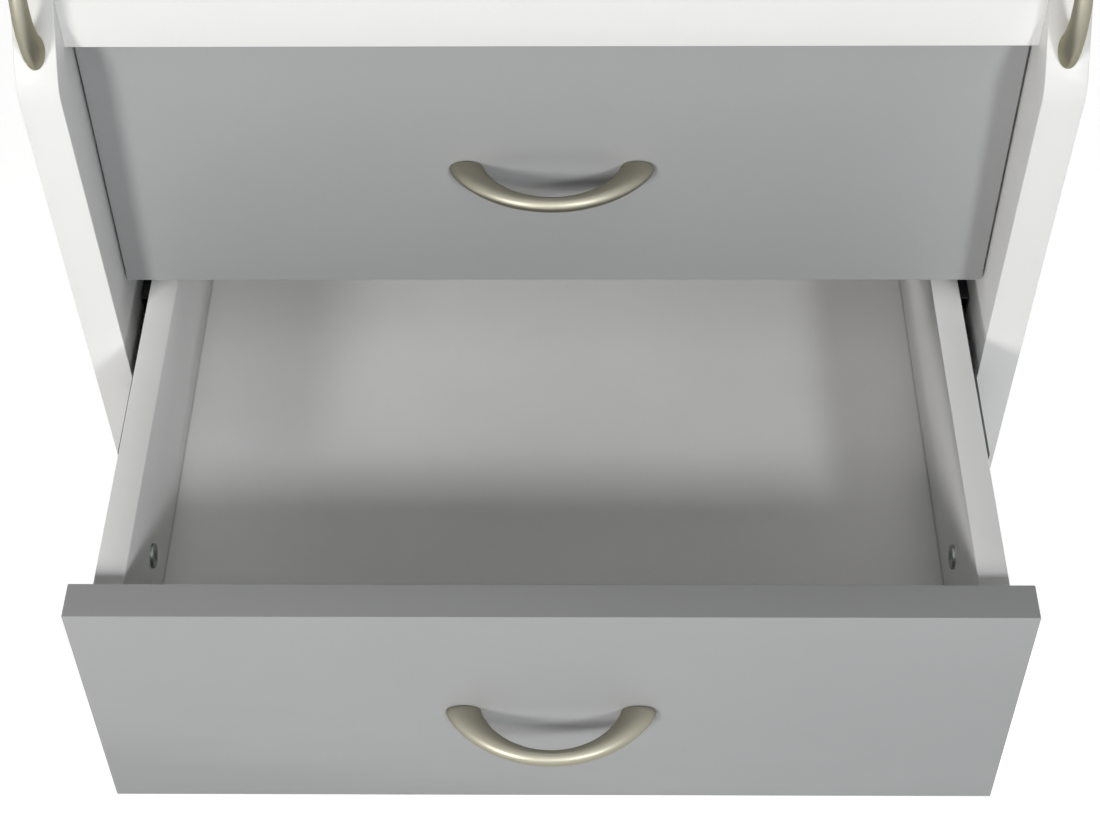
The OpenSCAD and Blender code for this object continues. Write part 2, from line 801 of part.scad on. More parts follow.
module caster_screws() {
    color(zinc) in_carcass() caster_places() plate_holes() {
        difference() {
            translate([0, 0, -plate_t - caster_head_t])
                cylinder(r = caster_head_r, h = caster_head_t, $fn = small_fn);
            translate([0, 0, -plate_t - caster_head_t]) rotate([180, 0, 0]) cross_recess(0);
        }
        translate([0, 0, -plate_t]) cylinder(r = caster_screw_r, h = caster_screw_l, $fn = small_fn);
    }
}

// Fork: a crown bored for the kingpin, and two legs that hold the axle ahead of it
module caster_fork(row, side) {
    leg_x = wheel_w / 2 + leg_gap;
    leg_top = crown_z - crown_t;
    color(zinc) in_carcass() at_caster(row, side) {
        difference() {
            union() {
                translate([0, 0, leg_top]) cylinder(r = crown_r2, h = crown_t, $fn = round_fn);
                for (x = [-leg_x - leg_t, leg_x]) translate([x, 0, 0])
                    rotate([90, 0, 90]) linear_extrude(leg_t) {
                        polygon([
                            [crown_r2 / 2, leg_top], [-crown_r2 / 2, leg_top],
                            [-trail - leg_foot_r, axle_z], [-trail + leg_foot_r, axle_z]
                        ]);
                        translate([-trail, axle_z]) circle(r = leg_foot_r, $fn = round_fn);
                    }
            }
            translate([0, 0, leg_top - over])
                cylinder(r = kingpin_r + run, h = crown_t + 2 * over, $fn = round_fn);
            translate([0, -trail, axle_z]) rotate([0, 90, 0])
                cylinder(r = axle_r + fit, h = 2 * (leg_x + leg_t + over), center = true, $fn = small_fn);
        }
    }
}

module caster_axle(row, side) {
    half_l = wheel_w / 2 + leg_gap + leg_t;
    color(zinc) in_carcass() at_caster(row, side) translate([0, -trail, axle_z]) rotate([0, 90, 0]) {
        cylinder(r = axle_r, h = 2 * half_l, center = true, $fn = small_fn);
        for (z = [-half_l - axle_head_t, half_l]) translate([0, 0, z])
            cylinder(r = axle_head_r, h = axle_head_t, $fn = small_fn);
    }
}

// Half the section of a wheel, from its bore to its tread
function wheel_edge() =
    let (face = wheel_w / 2, dish = face - hub_recess)
    [
        [axle_r + run, face], [hub_r, face], [hub_r + dish_slope, dish],
        [wheel_r - rim_h - dish_slope, dish], [wheel_r - rim_h, face],
        [wheel_r - tread_r, face], [wheel_r, face - tread_r]
    ];

module caster_wheel(row, side) {
    edge = wheel_edge();
    color(rubber) in_carcass() at_caster(row, side) translate([0, -trail, axle_z]) rotate([0, 90, 0])
        rotate_extrude($fn = round_fn) polygon(concat(
            edge,
            [for (i = [len(edge) - 1 : -1 : 0]) [edge[i].x, -edge[i].y]]
        ));
}

cheek(LEFT);  // left_cheek
cheek(RIGHT);  // right_cheek
base_panel();
top_panel();
fascia();
back_panel();
back_guard();
cheek_handle(LEFT);  // left_cheek_handle
cheek_handle(RIGHT);  // right_cheek_handle
cheek_handle_studs();
carcass_cams();
carcass_cam_bolts();
carcass_dowels();
back_panel_screws();
cabinet_runners(UPPER);  // upper_cabinet_runners
cabinet_runners(LOWER);  // lower_cabinet_runners
cabinet_runner_screws();
middle_runners(UPPER);  // upper_middle_runners
middle_runners(LOWER);  // lower_middle_runners
outer_cages(UPPER);  // upper_outer_cages
outer_cages(LOWER);  // lower_outer_cages
inner_cages(UPPER);  // upper_inner_cages
inner_cages(LOWER);  // lower_inner_cages
drawer_runners(UPPER);  // upper_drawer_runners
drawer_runners(LOWER);  // lower_drawer_runners
drawer_front(UPPER);  // upper_front
drawer_side(UPPER, LEFT);  // upper_left_side
drawer_side(UPPER, RIGHT);  // upper_right_side
drawer_back(UPPER);  // upper_back
drawer_bottom(UPPER);  // upper_bottom
drawer_handle(UPPER);  // upper_handle
handle_screws(UPPER);  // upper_handle_screws
drawer_cams(UPPER);  // upper_cams
drawer_cam_bolts(UPPER);  // upper_cam_bolts
sleeve_nuts(UPPER);  // upper_sleeve_nuts
drawer_front(LOWER);  // lower_front
drawer_side(LOWER, LEFT);  // lower_left_side
drawer_side(LOWER, RIGHT);  // lower_right_side
drawer_back(LOWER);  // lower_back
drawer_bottom(LOWER);  // lower_bottom
drawer_handle(LOWER);  // lower_handle
handle_screws(LOWER);  // lower_handle_screws
drawer_cams(LOWER);  // lower_cams
drawer_cam_bolts(LOWER);  // lower_cam_bolts
sleeve_nuts(LOWER);  // lower_sleeve_nuts
caster_plates();
caster_screws();
caster_fork(FRONT, LEFT);  // front_left_fork
caster_fork(FRONT, RIGHT);  // front_right_fork
caster_fork(REAR, LEFT);  // rear_left_fork
caster_fork(REAR, RIGHT);  // rear_right_fork
caster_axle(FRONT, LEFT);  // front_left_axle
caster_axle(FRONT, RIGHT);  // front_right_axle
caster_axle(REAR, LEFT);  // rear_left_axle
caster_axle(REAR, RIGHT);  // rear_right_axle
caster_wheel(FRONT, LEFT);  // front_left_wheel
caster_wheel(FRONT, RIGHT);  // front_right_wheel
caster_wheel(REAR, LEFT);  // rear_left_wheel
caster_wheel(REAR, RIGHT);  // rear_right_wheel
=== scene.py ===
"""Looks of the two-drawer pedestal on casters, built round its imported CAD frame.

Lengths are in metres, in the CAD part's frame: X to the right, Y to the back, Z up.
Places are read from the CAD nodes, so each piece stands where its node stands.
"""

import json
import logging
import math
from abc import ABC, abstractmethod
from collections.abc import Callable, Iterable, Mapping, Sequence
from dataclasses import dataclass, fields, replace
from enum import Enum
from functools import cache
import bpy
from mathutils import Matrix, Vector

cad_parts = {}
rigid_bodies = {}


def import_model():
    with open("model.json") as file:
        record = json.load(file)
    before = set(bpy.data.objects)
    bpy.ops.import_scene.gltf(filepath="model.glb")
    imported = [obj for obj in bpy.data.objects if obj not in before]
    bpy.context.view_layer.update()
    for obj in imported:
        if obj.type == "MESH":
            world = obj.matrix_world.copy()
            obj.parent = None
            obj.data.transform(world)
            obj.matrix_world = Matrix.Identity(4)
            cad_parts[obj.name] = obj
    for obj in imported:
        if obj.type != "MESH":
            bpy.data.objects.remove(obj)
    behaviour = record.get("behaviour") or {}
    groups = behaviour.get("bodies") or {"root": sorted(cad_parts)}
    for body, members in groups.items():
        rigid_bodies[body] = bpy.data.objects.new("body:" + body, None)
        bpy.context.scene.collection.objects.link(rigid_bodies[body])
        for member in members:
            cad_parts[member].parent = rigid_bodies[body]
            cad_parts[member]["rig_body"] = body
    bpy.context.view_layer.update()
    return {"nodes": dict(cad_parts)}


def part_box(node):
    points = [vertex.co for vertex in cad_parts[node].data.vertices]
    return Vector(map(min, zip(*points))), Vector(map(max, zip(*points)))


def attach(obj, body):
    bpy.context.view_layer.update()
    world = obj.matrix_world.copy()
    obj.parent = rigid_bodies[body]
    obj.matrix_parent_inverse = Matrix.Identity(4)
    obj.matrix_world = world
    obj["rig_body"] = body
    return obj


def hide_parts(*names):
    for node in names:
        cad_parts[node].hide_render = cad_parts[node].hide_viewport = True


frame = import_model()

from types import SimpleNamespace
from typing import Any

import bmesh
import bpy
from mathutils import Matrix, Vector

LOG = logging.getLogger("pedestal")
MM = 0.001
WELD = 1e-6
FLAT_ANGLE = math.radians(0.5)
SHARP_ANGLE = math.radians(32)
BAND_ATTRIBUTE = "edge_band"
UNBENT_ATTRIBUTE = "unbent"
TURN_ATTRIBUTE = "turn"
BACKWARD = Vector((0, 1, 0))
DOWNWARD = Vector((0, 0, -1))

Colour = tuple[float, float, float]
Mesh = bpy.types.Mesh
Shape = bmesh.types.BMesh


class Slot(Enum):
    """Material slots of the part's record."""

    WHITE_BOARD = "white_board"
    GREY_BOARD = "grey_board"
    HARDBOARD = "white_hardboard"
    NICKEL = "satin_nickel"
    ZINC = "zinc_plated_steel"
    RUNNER = "runner_steel"
    BEECH = "beech"
    WHEEL = "wheel_rubber"


class Place(Enum):
    """The two drawers, by the first word of their nodes."""

    UPPER = "upper"
    LOWER = "lower"


class Corner(Enum):
    """The four casters, by the first words of their nodes."""

    FRONT_LEFT = "front_left"
    FRONT_RIGHT = "front_right"
    REAR_LEFT = "rear_left"
    REAR_RIGHT = "rear_right"


class Axis(Enum):
    """The axis across a board's thickness."""

    X = 0
    Y = 1
    Z = 2


# Node trees


class Term:
    """A value in a node tree that takes part in arithmetic."""

    def __init__(self, tree: "Tree", socket: bpy.types.NodeSocket) -> None:
        """Keeps the tree and the output socket of the value."""
        self.tree = tree
        self.socket = socket

    def __add__(self, other: Any) -> "Term":
        """The sum."""
        return self.tree.math("ADD", self, other)

    def __sub__(self, other: Any) -> "Term":
        """The difference."""
        return self.tree.math("SUBTRACT", self, other)

    def __rsub__(self, other: Any) -> "Term":
        """The difference, the other way round."""
        return self.tree.math("SUBTRACT", other, self)

    def __mul__(self, other: Any) -> "Term":
        """The product."""
        return self.tree.math("MULTIPLY", self, other)

    def __rmul__(self, other: Any) -> "Term":
        """The product."""
        return self.tree.math("MULTIPLY", other, self)

    def __truediv__(self, other: Any) -> "Term":
        """The quotient."""
        return self.tree.math("DIVIDE", self, other)

    def __gt__(self, other: Any) -> "Term":
        """One where the value is greater, else nought."""
        return self.tree.math("GREATER_THAN", self, other)

    def __lt__(self, other: Any) -> "Term":
        """One where the value is less, else nought."""
        return self.tree.math("LESS_THAN", self, other)


class Tree:
    """A node tree that is written as calls and formulas."""

    def __init__(self, tree: bpy.types.NodeTree) -> None:
        """Keeps the tree that nodes are added to."""
        self.tree = tree

    def add(
        self, kind: str, inputs: Mapping[Any, Any] | None = None, **settings: Any
    ) -> bpy.types.Node:
        """Adds a node.

        Args:
            kind: the node's type name.
            inputs: value, Term or socket for each input, by its name or number.
            settings: the node's own properties.

        Returns:
            The new node.
        """
        node = self.tree.nodes.new(kind)
        for name, value in settings.items():
            setattr(node, name, value)
        for key, value in (inputs or {}).items():
            self.feed(node.inputs[key], value)
        return node

    def feed(self, socket: bpy.types.NodeSocket, value: Any) -> None:
        """Links a Term or socket to an input, or sets the input to a plain value."""
        if isinstance(value, Term):
            value = value.socket
        if isinstance(value, bpy.types.NodeSocket):
            self.tree.links.new(value, socket)
        elif value is not None:
            socket.default_value = value

    def term(self, node: bpy.types.Node, output: Any = 0) -> Term:
        """One output of a node as a Term."""
        return Term(self, node.outputs[output])

    def math(self, operation: str, *values: Any) -> Term:
        """The result of a Math node on up to three values."""
        return self.term(self.add("ShaderNodeMath", dict(enumerate(values)), operation=operation))

    def held(self, value: Any, low: Any, high: Any) -> Term:
        """A value held between two others."""
        return self.math("MINIMUM", self.math("MAXIMUM", value, low), high)

    def vector(self, x: Any, y: Any, z: Any) -> Term:
        """A vector made of three values."""
        return self.term(self.add("ShaderNodeCombineXYZ", {0: x, 1: y, 2: z}))

    def shown(self) -> Term:
        """One for what is seen straight, mirrored or through glass, else nought."""
        path = self.add("ShaderNodeLightPath")
        rays = [self.term(path, f"Is {ray} Ray") for ray in ("Camera", "Glossy", "Transmission")]
        return self.math("MAXIMUM", rays[0], self.math("MAXIMUM", rays[1], rays[2]))


class Shader(Tree):
    """The tree of a material, with its Principled shader."""

    def __init__(self, material: bpy.types.Material) -> None:
        """Turns the material's nodes on and finds its shader."""
        material.use_nodes = True
        super().__init__(material.node_tree)
        self.principled = self.tree.nodes["Principled BSDF"]
        self.where = self.term(self.add("ShaderNodeTexCoord"), "Object")

    def set(self, **inputs: Any) -> None:
        """Feeds the Principled shader's inputs, named with _ for a space."""
        for name, value in inputs.items():
            if isinstance(value, tuple):
                value = (*value, 1.0)
            self.feed(self.principled.inputs[name.replace("_", " ")], value)

    def attribute(self, name: str, output: str = "Fac") -> Term:
        """An attribute that the mesh carries."""
        return self.term(self.add("ShaderNodeAttribute", attribute_name=name), output)

    def along(self, axis: Axis) -> Term:
        """The piece's own coordinate along one axis."""
        return self.term(self.add("ShaderNodeSeparateXYZ", {0: self.where}), axis.value)

    def noise(
        self,
        size: float,
        detail: float,
        scale: Sequence[float] | None = None,
        rough: float = 0.5,
        where: Term | None = None,
    ) -> Term:
        """Noise from 0 to 1 whose features are about one size across.

        Args:
            size: width of a feature, in metres.
            detail: how many finer layers it has.
            scale: how much the coordinates are multiplied along each axis.
            rough: strength of the finer layers.
            where: coordinates, or the piece's own if there are none.

        Returns:
            The noise's value.
        """
        where = where or self.where
        if scale:
            inputs = {0: where, 1: tuple(scale)}
            where = self.term(self.add("ShaderNodeVectorMath", inputs, operation="MULTIPLY"))
        inputs = {"Vector": where, "Scale": 1 / size, "Detail": detail, "Roughness": rough}
        return self.term(self.add("ShaderNodeTexNoise", inputs))

    def cells(self, size: float, output: str = "Distance") -> Term:
        """A Voronoi pattern whose cells are about one size across."""
        node = self.add("ShaderNodeTexVoronoi", {"Vector": self.where, "Scale": 1 / size})
        return self.term(node, output)

    def spread(
        self, value: Any, low: float, high: float, to_low: float = 0.0, to_high: float = 1.0
    ) -> Term:
        """Maps low..high to to_low..to_high, held at both ends."""
        inputs = {"From Min": low, "From Max": high, "To Min": to_low, "To Max": to_high}
        return self.term(self.add("ShaderNodeMapRange", {"Value": value, **inputs}))

    def mix(self, share: Any, first: Any, second: Any) -> Term:
        """A colour between two others."""
        ends = [(*c, 1.0) if isinstance(c, tuple) else c for c in (first, second)]
        inputs = {"Factor": share, 6: ends[0], 7: ends[1]}
        return self.term(self.add("ShaderNodeMix", inputs, data_type="RGBA"), 2)

    def bump(self, height: Term, depth: float) -> None:
        """Feeds a height pattern to the shader's normal, depth metres high."""
        last = self.principled.inputs["Normal"].links
        inputs = {"Height": height, "Distance": depth}
        if last:
            inputs["Normal"] = last[0].from_socket
        self.set(Normal=self.add("ShaderNodeBump", inputs).outputs[0])


# Finishes


@dataclass(frozen=True)
class Finish(ABC):
    """A finish of the pedestal, which makes its material once."""

    name: str
    slot: Slot | None

    @abstractmethod
    def dress(self, shader: Shader) -> None:
        """Feeds the shader with the finish's patterns."""

    @cache
    def material(self) -> bpy.types.Material:
        """The finish's material, made on its first use."""
        made = bpy.data.materials.new(self.name)
        self.dress(Shader(made))
        return made


@dataclass(frozen=True)
class Melamine(Finish):
    """Satin melamine face on chipboard, with a smoother edge band."""

    face: Colour
    band: Colour
    cloud_size: float = 110 * MM
    fleck_size: float = 2.2 * MM
    scuff_size: float = 20 * MM
    pearl_size: float = 1.3 * MM
    pearl_depth: float = 0.012 * MM
    ripple_size: float = 35 * MM
    ripple_depth: float = 0.05 * MM
    satin: tuple[float, float] = (0.36, 0.46)
    gloss: float = 0.22
    band_gloss: float = 0.05

    def dress(self, shader: Shader) -> None:
        """Clouded colour, a fine pearl on the faces, and a glossier band."""
        band = shader.attribute(BAND_ATTRIBUTE)
        cloud = shader.noise(self.cloud_size, 3)
        fleck = shader.noise(self.fleck_size, 2)
        dark = tuple(0.965 * c for c in self.face)
        face = shader.mix(shader.spread(cloud + fleck * 0.3, 0.4, 0.95), dark, self.face)
        scuff = shader.noise(self.scuff_size, 4, (0.25, 1.0, 1.6), 0.7)
        rough = shader.spread(scuff, 0.35, 0.7, *self.satin) - band * self.band_gloss
        shader.set(Base_Color=shader.mix(band, face, self.band), Roughness=rough)
        shader.set(Specular_IOR_Level=self.gloss)
        shader.bump(shader.noise(self.pearl_size, 1.5), self.pearl_depth)
        shader.bump(shader.noise(self.ripple_size, 1), self.ripple_depth)


@dataclass(frozen=True)
class Hardboard(Finish):
    """White-painted hardboard of a drawer's bottom, with the print of its felt."""

    face: Colour
    gloss: float = 0.2
    fibre_size: float = 1.6 * MM
    fibre_depth: float = 0.02 * MM
    cloud_size: float = 70 * MM
    satin: tuple[float, float] = (0.42, 0.54)
    # colour of the painted shade along the joint with the drawer sides
    dirt: Colour = (0.56, 0.56, 0.55)
    seam_at: float = 0.0
    seam_width: float = 1.3 * MM

    def dress(self, shader: Shader) -> None:
        """A slightly mealy white with a fine fibre relief, and painted shade where it enters a
        groove.
        """
        fibre = shader.noise(self.fibre_size, 3, (0.6, 1.0, 1.0))
        cloud = shader.noise(self.cloud_size, 3)
        dark = tuple(0.95 * c for c in self.face)
        colour = shader.mix(shader.spread(cloud + fibre * 0.35, 0.45, 0.95), dark, self.face)
        # Painted shade: the colour darkens towards the joint with the drawer sides, standing in
        # for the shadow in the groove.
        if self.seam_at:
            aside = shader.math("ABSOLUTE", shader.along(Axis.X))
            painted_seam_shade = shader.spread(aside, self.seam_at - self.seam_width, self.seam_at)
            colour = shader.mix(painted_seam_shade, colour, self.dirt)
        shader.set(Base_Color=colour, Roughness=shader.spread(fibre, 0.3, 0.7, *self.satin))
        shader.set(Specular_IOR_Level=self.gloss)
        shader.bump(fibre, self.fibre_depth)


@dataclass(frozen=True)
class SatinNickel(Finish):
    """Champagne satin nickel, with a grain that follows the bow of the handle."""

    metal: Colour = (0.355, 0.342, 0.285)
    shade: Colour = (0.30, 0.286, 0.226)
    rim: Colour = (0.7, 0.66, 0.48)
    satin: tuple[float, float] = (0.39, 0.48)
    grain_size: float = 0.45 * MM
    grain_depth: float = 0.006 * MM
    blast_size: float = 0.35 * MM
    blast_depth: float = 0.008 * MM
    cloud_size: float = 12 * MM

    def dress(self, shader: Shader) -> None:
        """Grain drawn out along the bow, clouded plating and a fine blast."""
        bow = shader.attribute(UNBENT_ATTRIBUTE, "Vector")
        grain = shader.noise(self.grain_size, 3, (0.12, 1.0, 1.0), 0.65, where=bow)
        blast = shader.noise(self.blast_size, 2, where=bow)
        cloud = shader.noise(self.cloud_size, 3, where=bow)
        colour = shader.mix(shader.spread(cloud + grain * 0.3, 0.42, 0.95), self.shade, self.metal)
        rough = shader.spread(cloud * 0.5 + grain * 0.5, 0.35, 0.65, *self.satin)
        shader.set(Base_Color=colour, Metallic=1.0, Roughness=rough, Specular_Tint=self.rim)
        shader.bump(grain, self.grain_depth)
        shader.bump(blast, self.blast_depth)


@dataclass(frozen=True)
class ZincPlate(Finish):
    """Bright zinc plate with a faint blue and straw bloom."""

    cool: Colour = (0.66, 0.70, 0.74)
    warm: Colour = (0.74, 0.72, 0.65)
    satin: tuple[float, float] = (0.24, 0.42)
    bloom_size: float = 4 * MM
    spot_size: float = 1.4 * MM
    tumble_size: float = 0.5 * MM
    tumble_depth: float = 0.02 * MM

    def dress(self, shader: Shader) -> None:
        """Blooms of colour, dull spots and a fine tumbled relief."""
        bloom = shader.noise(self.bloom_size, 3)
        spots = shader.cells(self.spot_size)
        tumble = shader.noise(self.tumble_size, 3)
        shader.set(
            Base_Color=shader.mix(shader.spread(bloom, 0.38, 0.62), self.cool, self.warm),
            Metallic=1.0,
            Roughness=shader.spread(bloom + spots * 0.4, 0.3, 0.95, *self.satin),
        )
        shader.bump(tumble, self.tumble_depth)


@dataclass(frozen=True)
class RunnerSteel(Finish):
    """Dark passivated strip of the runners, darker still as painted shade for the narrow gap
    beside each drawer: spangle under lengthwise rolling marks.
    """

    # Both tones are very dark: a dark finish, plus painted shade for the deep gap between drawer
    # side and cheek.
    light: Colour = (0.11, 0.113, 0.117)
    dark: Colour = (0.05, 0.051, 0.053)
    satin: tuple[float, float] = (0.26, 0.44)
    spangle_size: float = 5 * MM
    streak_size: float = 0.6 * MM
    streak_depth: float = 0.01 * MM
    grease_size: float = 50 * MM

    def dress(self, shader: Shader) -> None:
        """Spangle cells, streaks along the strip and a film of dark grease."""
        spangle = shader.cells(self.spangle_size, "Color")
        streak = shader.noise(self.streak_size, 3, (1.0, 0.02, 1.0))
        grease = shader.noise(self.grease_size, 3, (1.0, 0.4, 1.0))
        flake = shader.term(shader.add("ShaderNodeRGBToBW", {0: spangle}))
        share = shader.spread(flake * 0.5 + streak * 0.6, 0.2, 0.9)
        colour = shader.mix(share, self.dark, self.light)
        shader.set(
            Base_Color=shader.mix(shader.spread(grease, 0.6, 0.8, 0, 0.35), colour, self.dark),
            Metallic=1.0,
            Roughness=shader.spread(flake + streak * 0.5, 0.2, 1.1, *self.satin),
        )
        shader.bump(streak, self.streak_depth)


@dataclass(frozen=True)
class Beech(Finish):
    """Steamed beech of the dowels, its grain along their length."""

    pale: Colour = (0.60, 0.40, 0.23)
    deep: Colour = (0.42, 0.25, 0.13)
    fibre_size: float = 0.7 * MM
    fibre_depth: float = 0.05 * MM
    ray_size: float = 0.5 * MM

    def dress(self, shader: Shader) -> None:
        """Long fibres with short dark rays across them."""
        fibre = shader.noise(self.fibre_size, 4, (0.06, 1.0, 1.0))
        rays = shader.noise(self.ray_size, 1, (0.3, 1.0, 1.0))
        share = shader.spread(fibre * 0.7 + (rays > 0.68) * 0.4, 0.25, 0.85)
        shader.set(Base_Color=shader.mix(share, self.pale, self.deep), Roughness=0.62)
        shader.bump(fibre, self.fibre_depth)


@dataclass(frozen=True)
class WheelPlastic(Finish):
    """Moulded black wheel plastic, dusty and worn where it rolls."""

    body: Colour = (0.022, 0.022, 0.024)
    dust: Colour = (0.16, 0.15, 0.14)
    satin: tuple[float, float] = (0.42, 0.68)
    spark_size: float = 0.45 * MM
    spark_depth: float = 0.05 * MM
    dust_size: float = 7 * MM

    def dress(self, shader: Shader) -> None:
        """A fine spark texture and dust in patches."""
        spark = shader.noise(self.spark_size, 2)
        dust = shader.noise(self.dust_size, 4, rough=0.65)
        colour = shader.mix(shader.spread(dust, 0.5, 0.85, 0, 0.5), self.body, self.dust)
        rough = shader.spread(dust + spark * 0.3, 0.4, 0.9, *self.satin)
        shader.set(Base_Color=colour, Roughness=rough)
        shader.bump(spark, self.spark_depth)


@dataclass(frozen=True)
class FloorPaint(Finish):
    """Pale plain floor, which shows white where no shadow lies."""

    tone: Colour = (0.56, 0.56, 0.56)
    cloud_size: float = 0.3
    lift: float = 0.74
    shadow_reach: float = 0.9
    far_reach: float = 2.2

    def dress(self, shader: Shader) -> None:
        """A matt pale floor, lifted to white for what sees it, and most where no shadow falls."""
        dark = tuple(0.99 * c for c in self.tone)
        tone = shader.mix(shader.noise(self.cloud_size, 2), self.tone, dark)
        distance = shader.add("ShaderNodeVectorMath", {0: shader.where}, operation="LENGTH")
        away = shader.term(distance, "Value")
        lift = shader.spread(away, self.shadow_reach, self.far_reach, self.lift, 1.0)
        shader.set(Base_Color=tone, Roughness=0.9, Specular_IOR_Level=0.1)
        shader.set(Emission_Color=(1.0, 1.0, 1.0), Emission_Strength=shader.shown() * lift)


WHITE_MELAMINE = Melamine(
    "white_melamine", Slot.WHITE_BOARD, face=(0.845, 0.845, 0.835), band=(0.84, 0.84, 0.83)
)
GREY_MELAMINE = Melamine(
    "grey_melamine", Slot.GREY_BOARD, face=(0.358, 0.361, 0.366), band=(0.345, 0.345, 0.35)
)
HARDBOARD = Hardboard("painted_hardboard", Slot.HARDBOARD, face=(0.875, 0.87, 0.858))
NICKEL = SatinNickel("handle_nickel", Slot.NICKEL)
ZINC = ZincPlate("zinc_plate", Slot.ZINC)
NUT_PLATE = ZincPlate(
    "nut_plate", Slot.ZINC, cool=(0.24, 0.28, 0.27), warm=(0.34, 0.345, 0.31), satin=(0.3, 0.46)
)
# Runner strip kept very dark, partly as painted shade for the gap beside the drawers.
RUNNER_STEEL = RunnerSteel("runner_strip_gap_shade", Slot.RUNNER)
BEECH = Beech("dowel_beech", Slot.BEECH)
WHEEL_PLASTIC = WheelPlastic("wheel_plastic", Slot.WHEEL)
FLOOR_PAINT = FloorPaint("floor_paint", None)


# Meshes and pieces


def merged(node: str) -> Shape:
    """A copy of a CAD node's mesh, its loose triangles joined into flat faces."""
    shape = bmesh.new()
    shape.from_mesh(frame["nodes"][node].data)
    bmesh.ops.remove_doubles(shape, verts=shape.verts, dist=WELD)
    bmesh.ops.dissolve_limit(shape, angle_limit=FLAT_ANGLE, verts=shape.verts, edges=shape.edges)
    return shape


def linked_groups(
    items: Iterable[Any], neighbours: Callable[[Any], Iterable[Any]]
) -> list[list[Any]]:
    """Splits items into groups that hang together.

    Args:
        items: vertices or edges of one mesh.
        neighbours: gives what lies next to an item.

    Returns:
        The groups, in the order of their first items.
    """
    waiting, groups = dict.fromkeys(items), []
    while waiting:
        stack = [next(iter(waiting))]
        del waiting[stack[0]]
        group = []
        while stack:
            item = stack.pop()
            group.append(item)
            for other in neighbours(item):
                if other in waiting:
                    del waiting[other]
                    stack.append(other)
        groups.append(group)
    return groups


def solids_of(shape: Shape) -> list[list[bmesh.types.BMVert]]:
    """The vertices of each separate solid of a mesh."""
    return linked_groups(shape.verts, lambda v: (e.other_vert(v) for e in v.link_edges))


@dataclass(frozen=True)
class Box:
    """An upright box."""

    low: Vector
    high: Vector

    @classmethod
    def round(cls, vertices: Iterable[Any]) -> "Box":
        """The box round some vertices."""
        sides = list(zip(*(v.co for v in vertices)))
        return cls(Vector(map(min, sides)), Vector(map(max, sides)))

    @property
    def middle(self) -> Vector:
        """The box's centre."""
        return (self.low + self.high) / 2

    @property
    def size(self) -> Vector:
        """The box's three edges."""
        return self.high - self.low


def boxes_of(node: str) -> list[Box]:
    """The box of each separate solid in a CAD node."""
    shape = merged(node)
    boxes = [Box.round(group) for group in solids_of(shape)]
    shape.free()
    return boxes


def to_mesh(shape: Shape, name: str) -> Mesh:
    """Writes a bmesh to a new mesh and frees it."""
    mesh = bpy.data.meshes.new(name)
    shape.to_mesh(mesh)
    shape.free()
    return mesh


def evaluated(holder: bpy.types.Object, name: str) -> Mesh:
    """The plain mesh that an object's modifiers make; the object goes."""
    bpy.context.view_layer.update()
    made = holder.evaluated_get(bpy.context.evaluated_depsgraph_get())
    mesh = bpy.data.meshes.new_from_object(made)
    mesh.name = name
    holder.modifiers.clear()
    bpy.data.objects.remove(holder)
    return mesh


def held(data: bpy.types.ID) -> bpy.types.Object:
    """An object in the scene that holds a mesh, a lamp or a camera."""
    holder = bpy.data.objects.new(data.name, data)
    bpy.context.scene.collection.objects.link(holder)
    return holder


@dataclass(frozen=True)
class Arris:
    """How the long edges of a piece are rounded."""

    width: float
    least_run: float = 0.12
    segments: int = 3

    def mark(self, shape: Shape) -> None:
        """Gives weight to each run of sharp edges that is long enough; bores stay crisp."""
        weight = shape.edges.layers.float.new("bevel_weight_edge")
        sharp = [
            e for e in shape.edges
            if len(e.link_faces) == 2 and e.calc_face_angle(0) > SHARP_ANGLE
        ]
        for run in linked_groups(sharp, lambda e: (o for v in e.verts for o in v.link_edges)):
            long_run = sum(e.calc_length() for e in run) >= self.least_run
            for e in run:
                e[weight] = float(long_run)
                e.smooth = long_run

    def rounded(self, shape: Shape, name: str) -> Mesh:
        """The shape as a mesh with its long edges rounded and its faces kept flat."""
        for face in shape.faces:
            face.smooth = True
        self.mark(shape)
        holder = held(to_mesh(shape, name))
        bevel = holder.modifiers.new("arris", "BEVEL")
        bevel.width = self.width
        bevel.segments = self.segments
        bevel.limit_method = "WEIGHT"
        bevel.use_clamp_overlap = False
        bevel.harden_normals = True
        return evaluated(holder, name)


BOARD_ARRIS = Arris(0.5 * MM)
HARDBOARD_ARRIS = Arris(0.3 * MM)
SHEET_ARRIS = Arris(0.35 * MM, least_run=0.03, segments=2)
FINE_ARRIS = Arris(0.2 * MM, least_run=0.004, segments=2)


def add_piece(name: str, mesh: Mesh, finish: Finish, node: str) -> None:
    """Puts a finished mesh into the scene in place of a CAD node.

    Args:
        name: the piece's name.
        mesh: its mesh, in the part's frame.
        finish: what it is made of.
        node: the CAD node that it stands for, whose body it rides.
    """
    mesh.materials.clear()
    mesh.materials.append(finish.material())
    mesh.validate()
    piece = held(mesh)
    piece.name = name
    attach(piece, frame["nodes"][node]["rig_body"])
    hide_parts(node)
    LOG.info("%s: %d faces, for %s", name, len(mesh.polygons), node)


def dress_node(node: str, finish: Finish) -> None:
    """Gives a CAD node that stays as it is its finish."""
    mesh = frame["nodes"][node].data
    mesh.materials.clear()
    mesh.materials.append(finish.material())
    LOG.info("%s: the CAD node, in %s", node, finish.name)


def add_rounded(node: str, finish: Finish, arris: Arris) -> None:
    """Adds a piece with a CAD node's own shape and rounded edges."""
    name = f"{node}_piece"
    add_piece(name, arris.rounded(merged(node), name), finish, node)


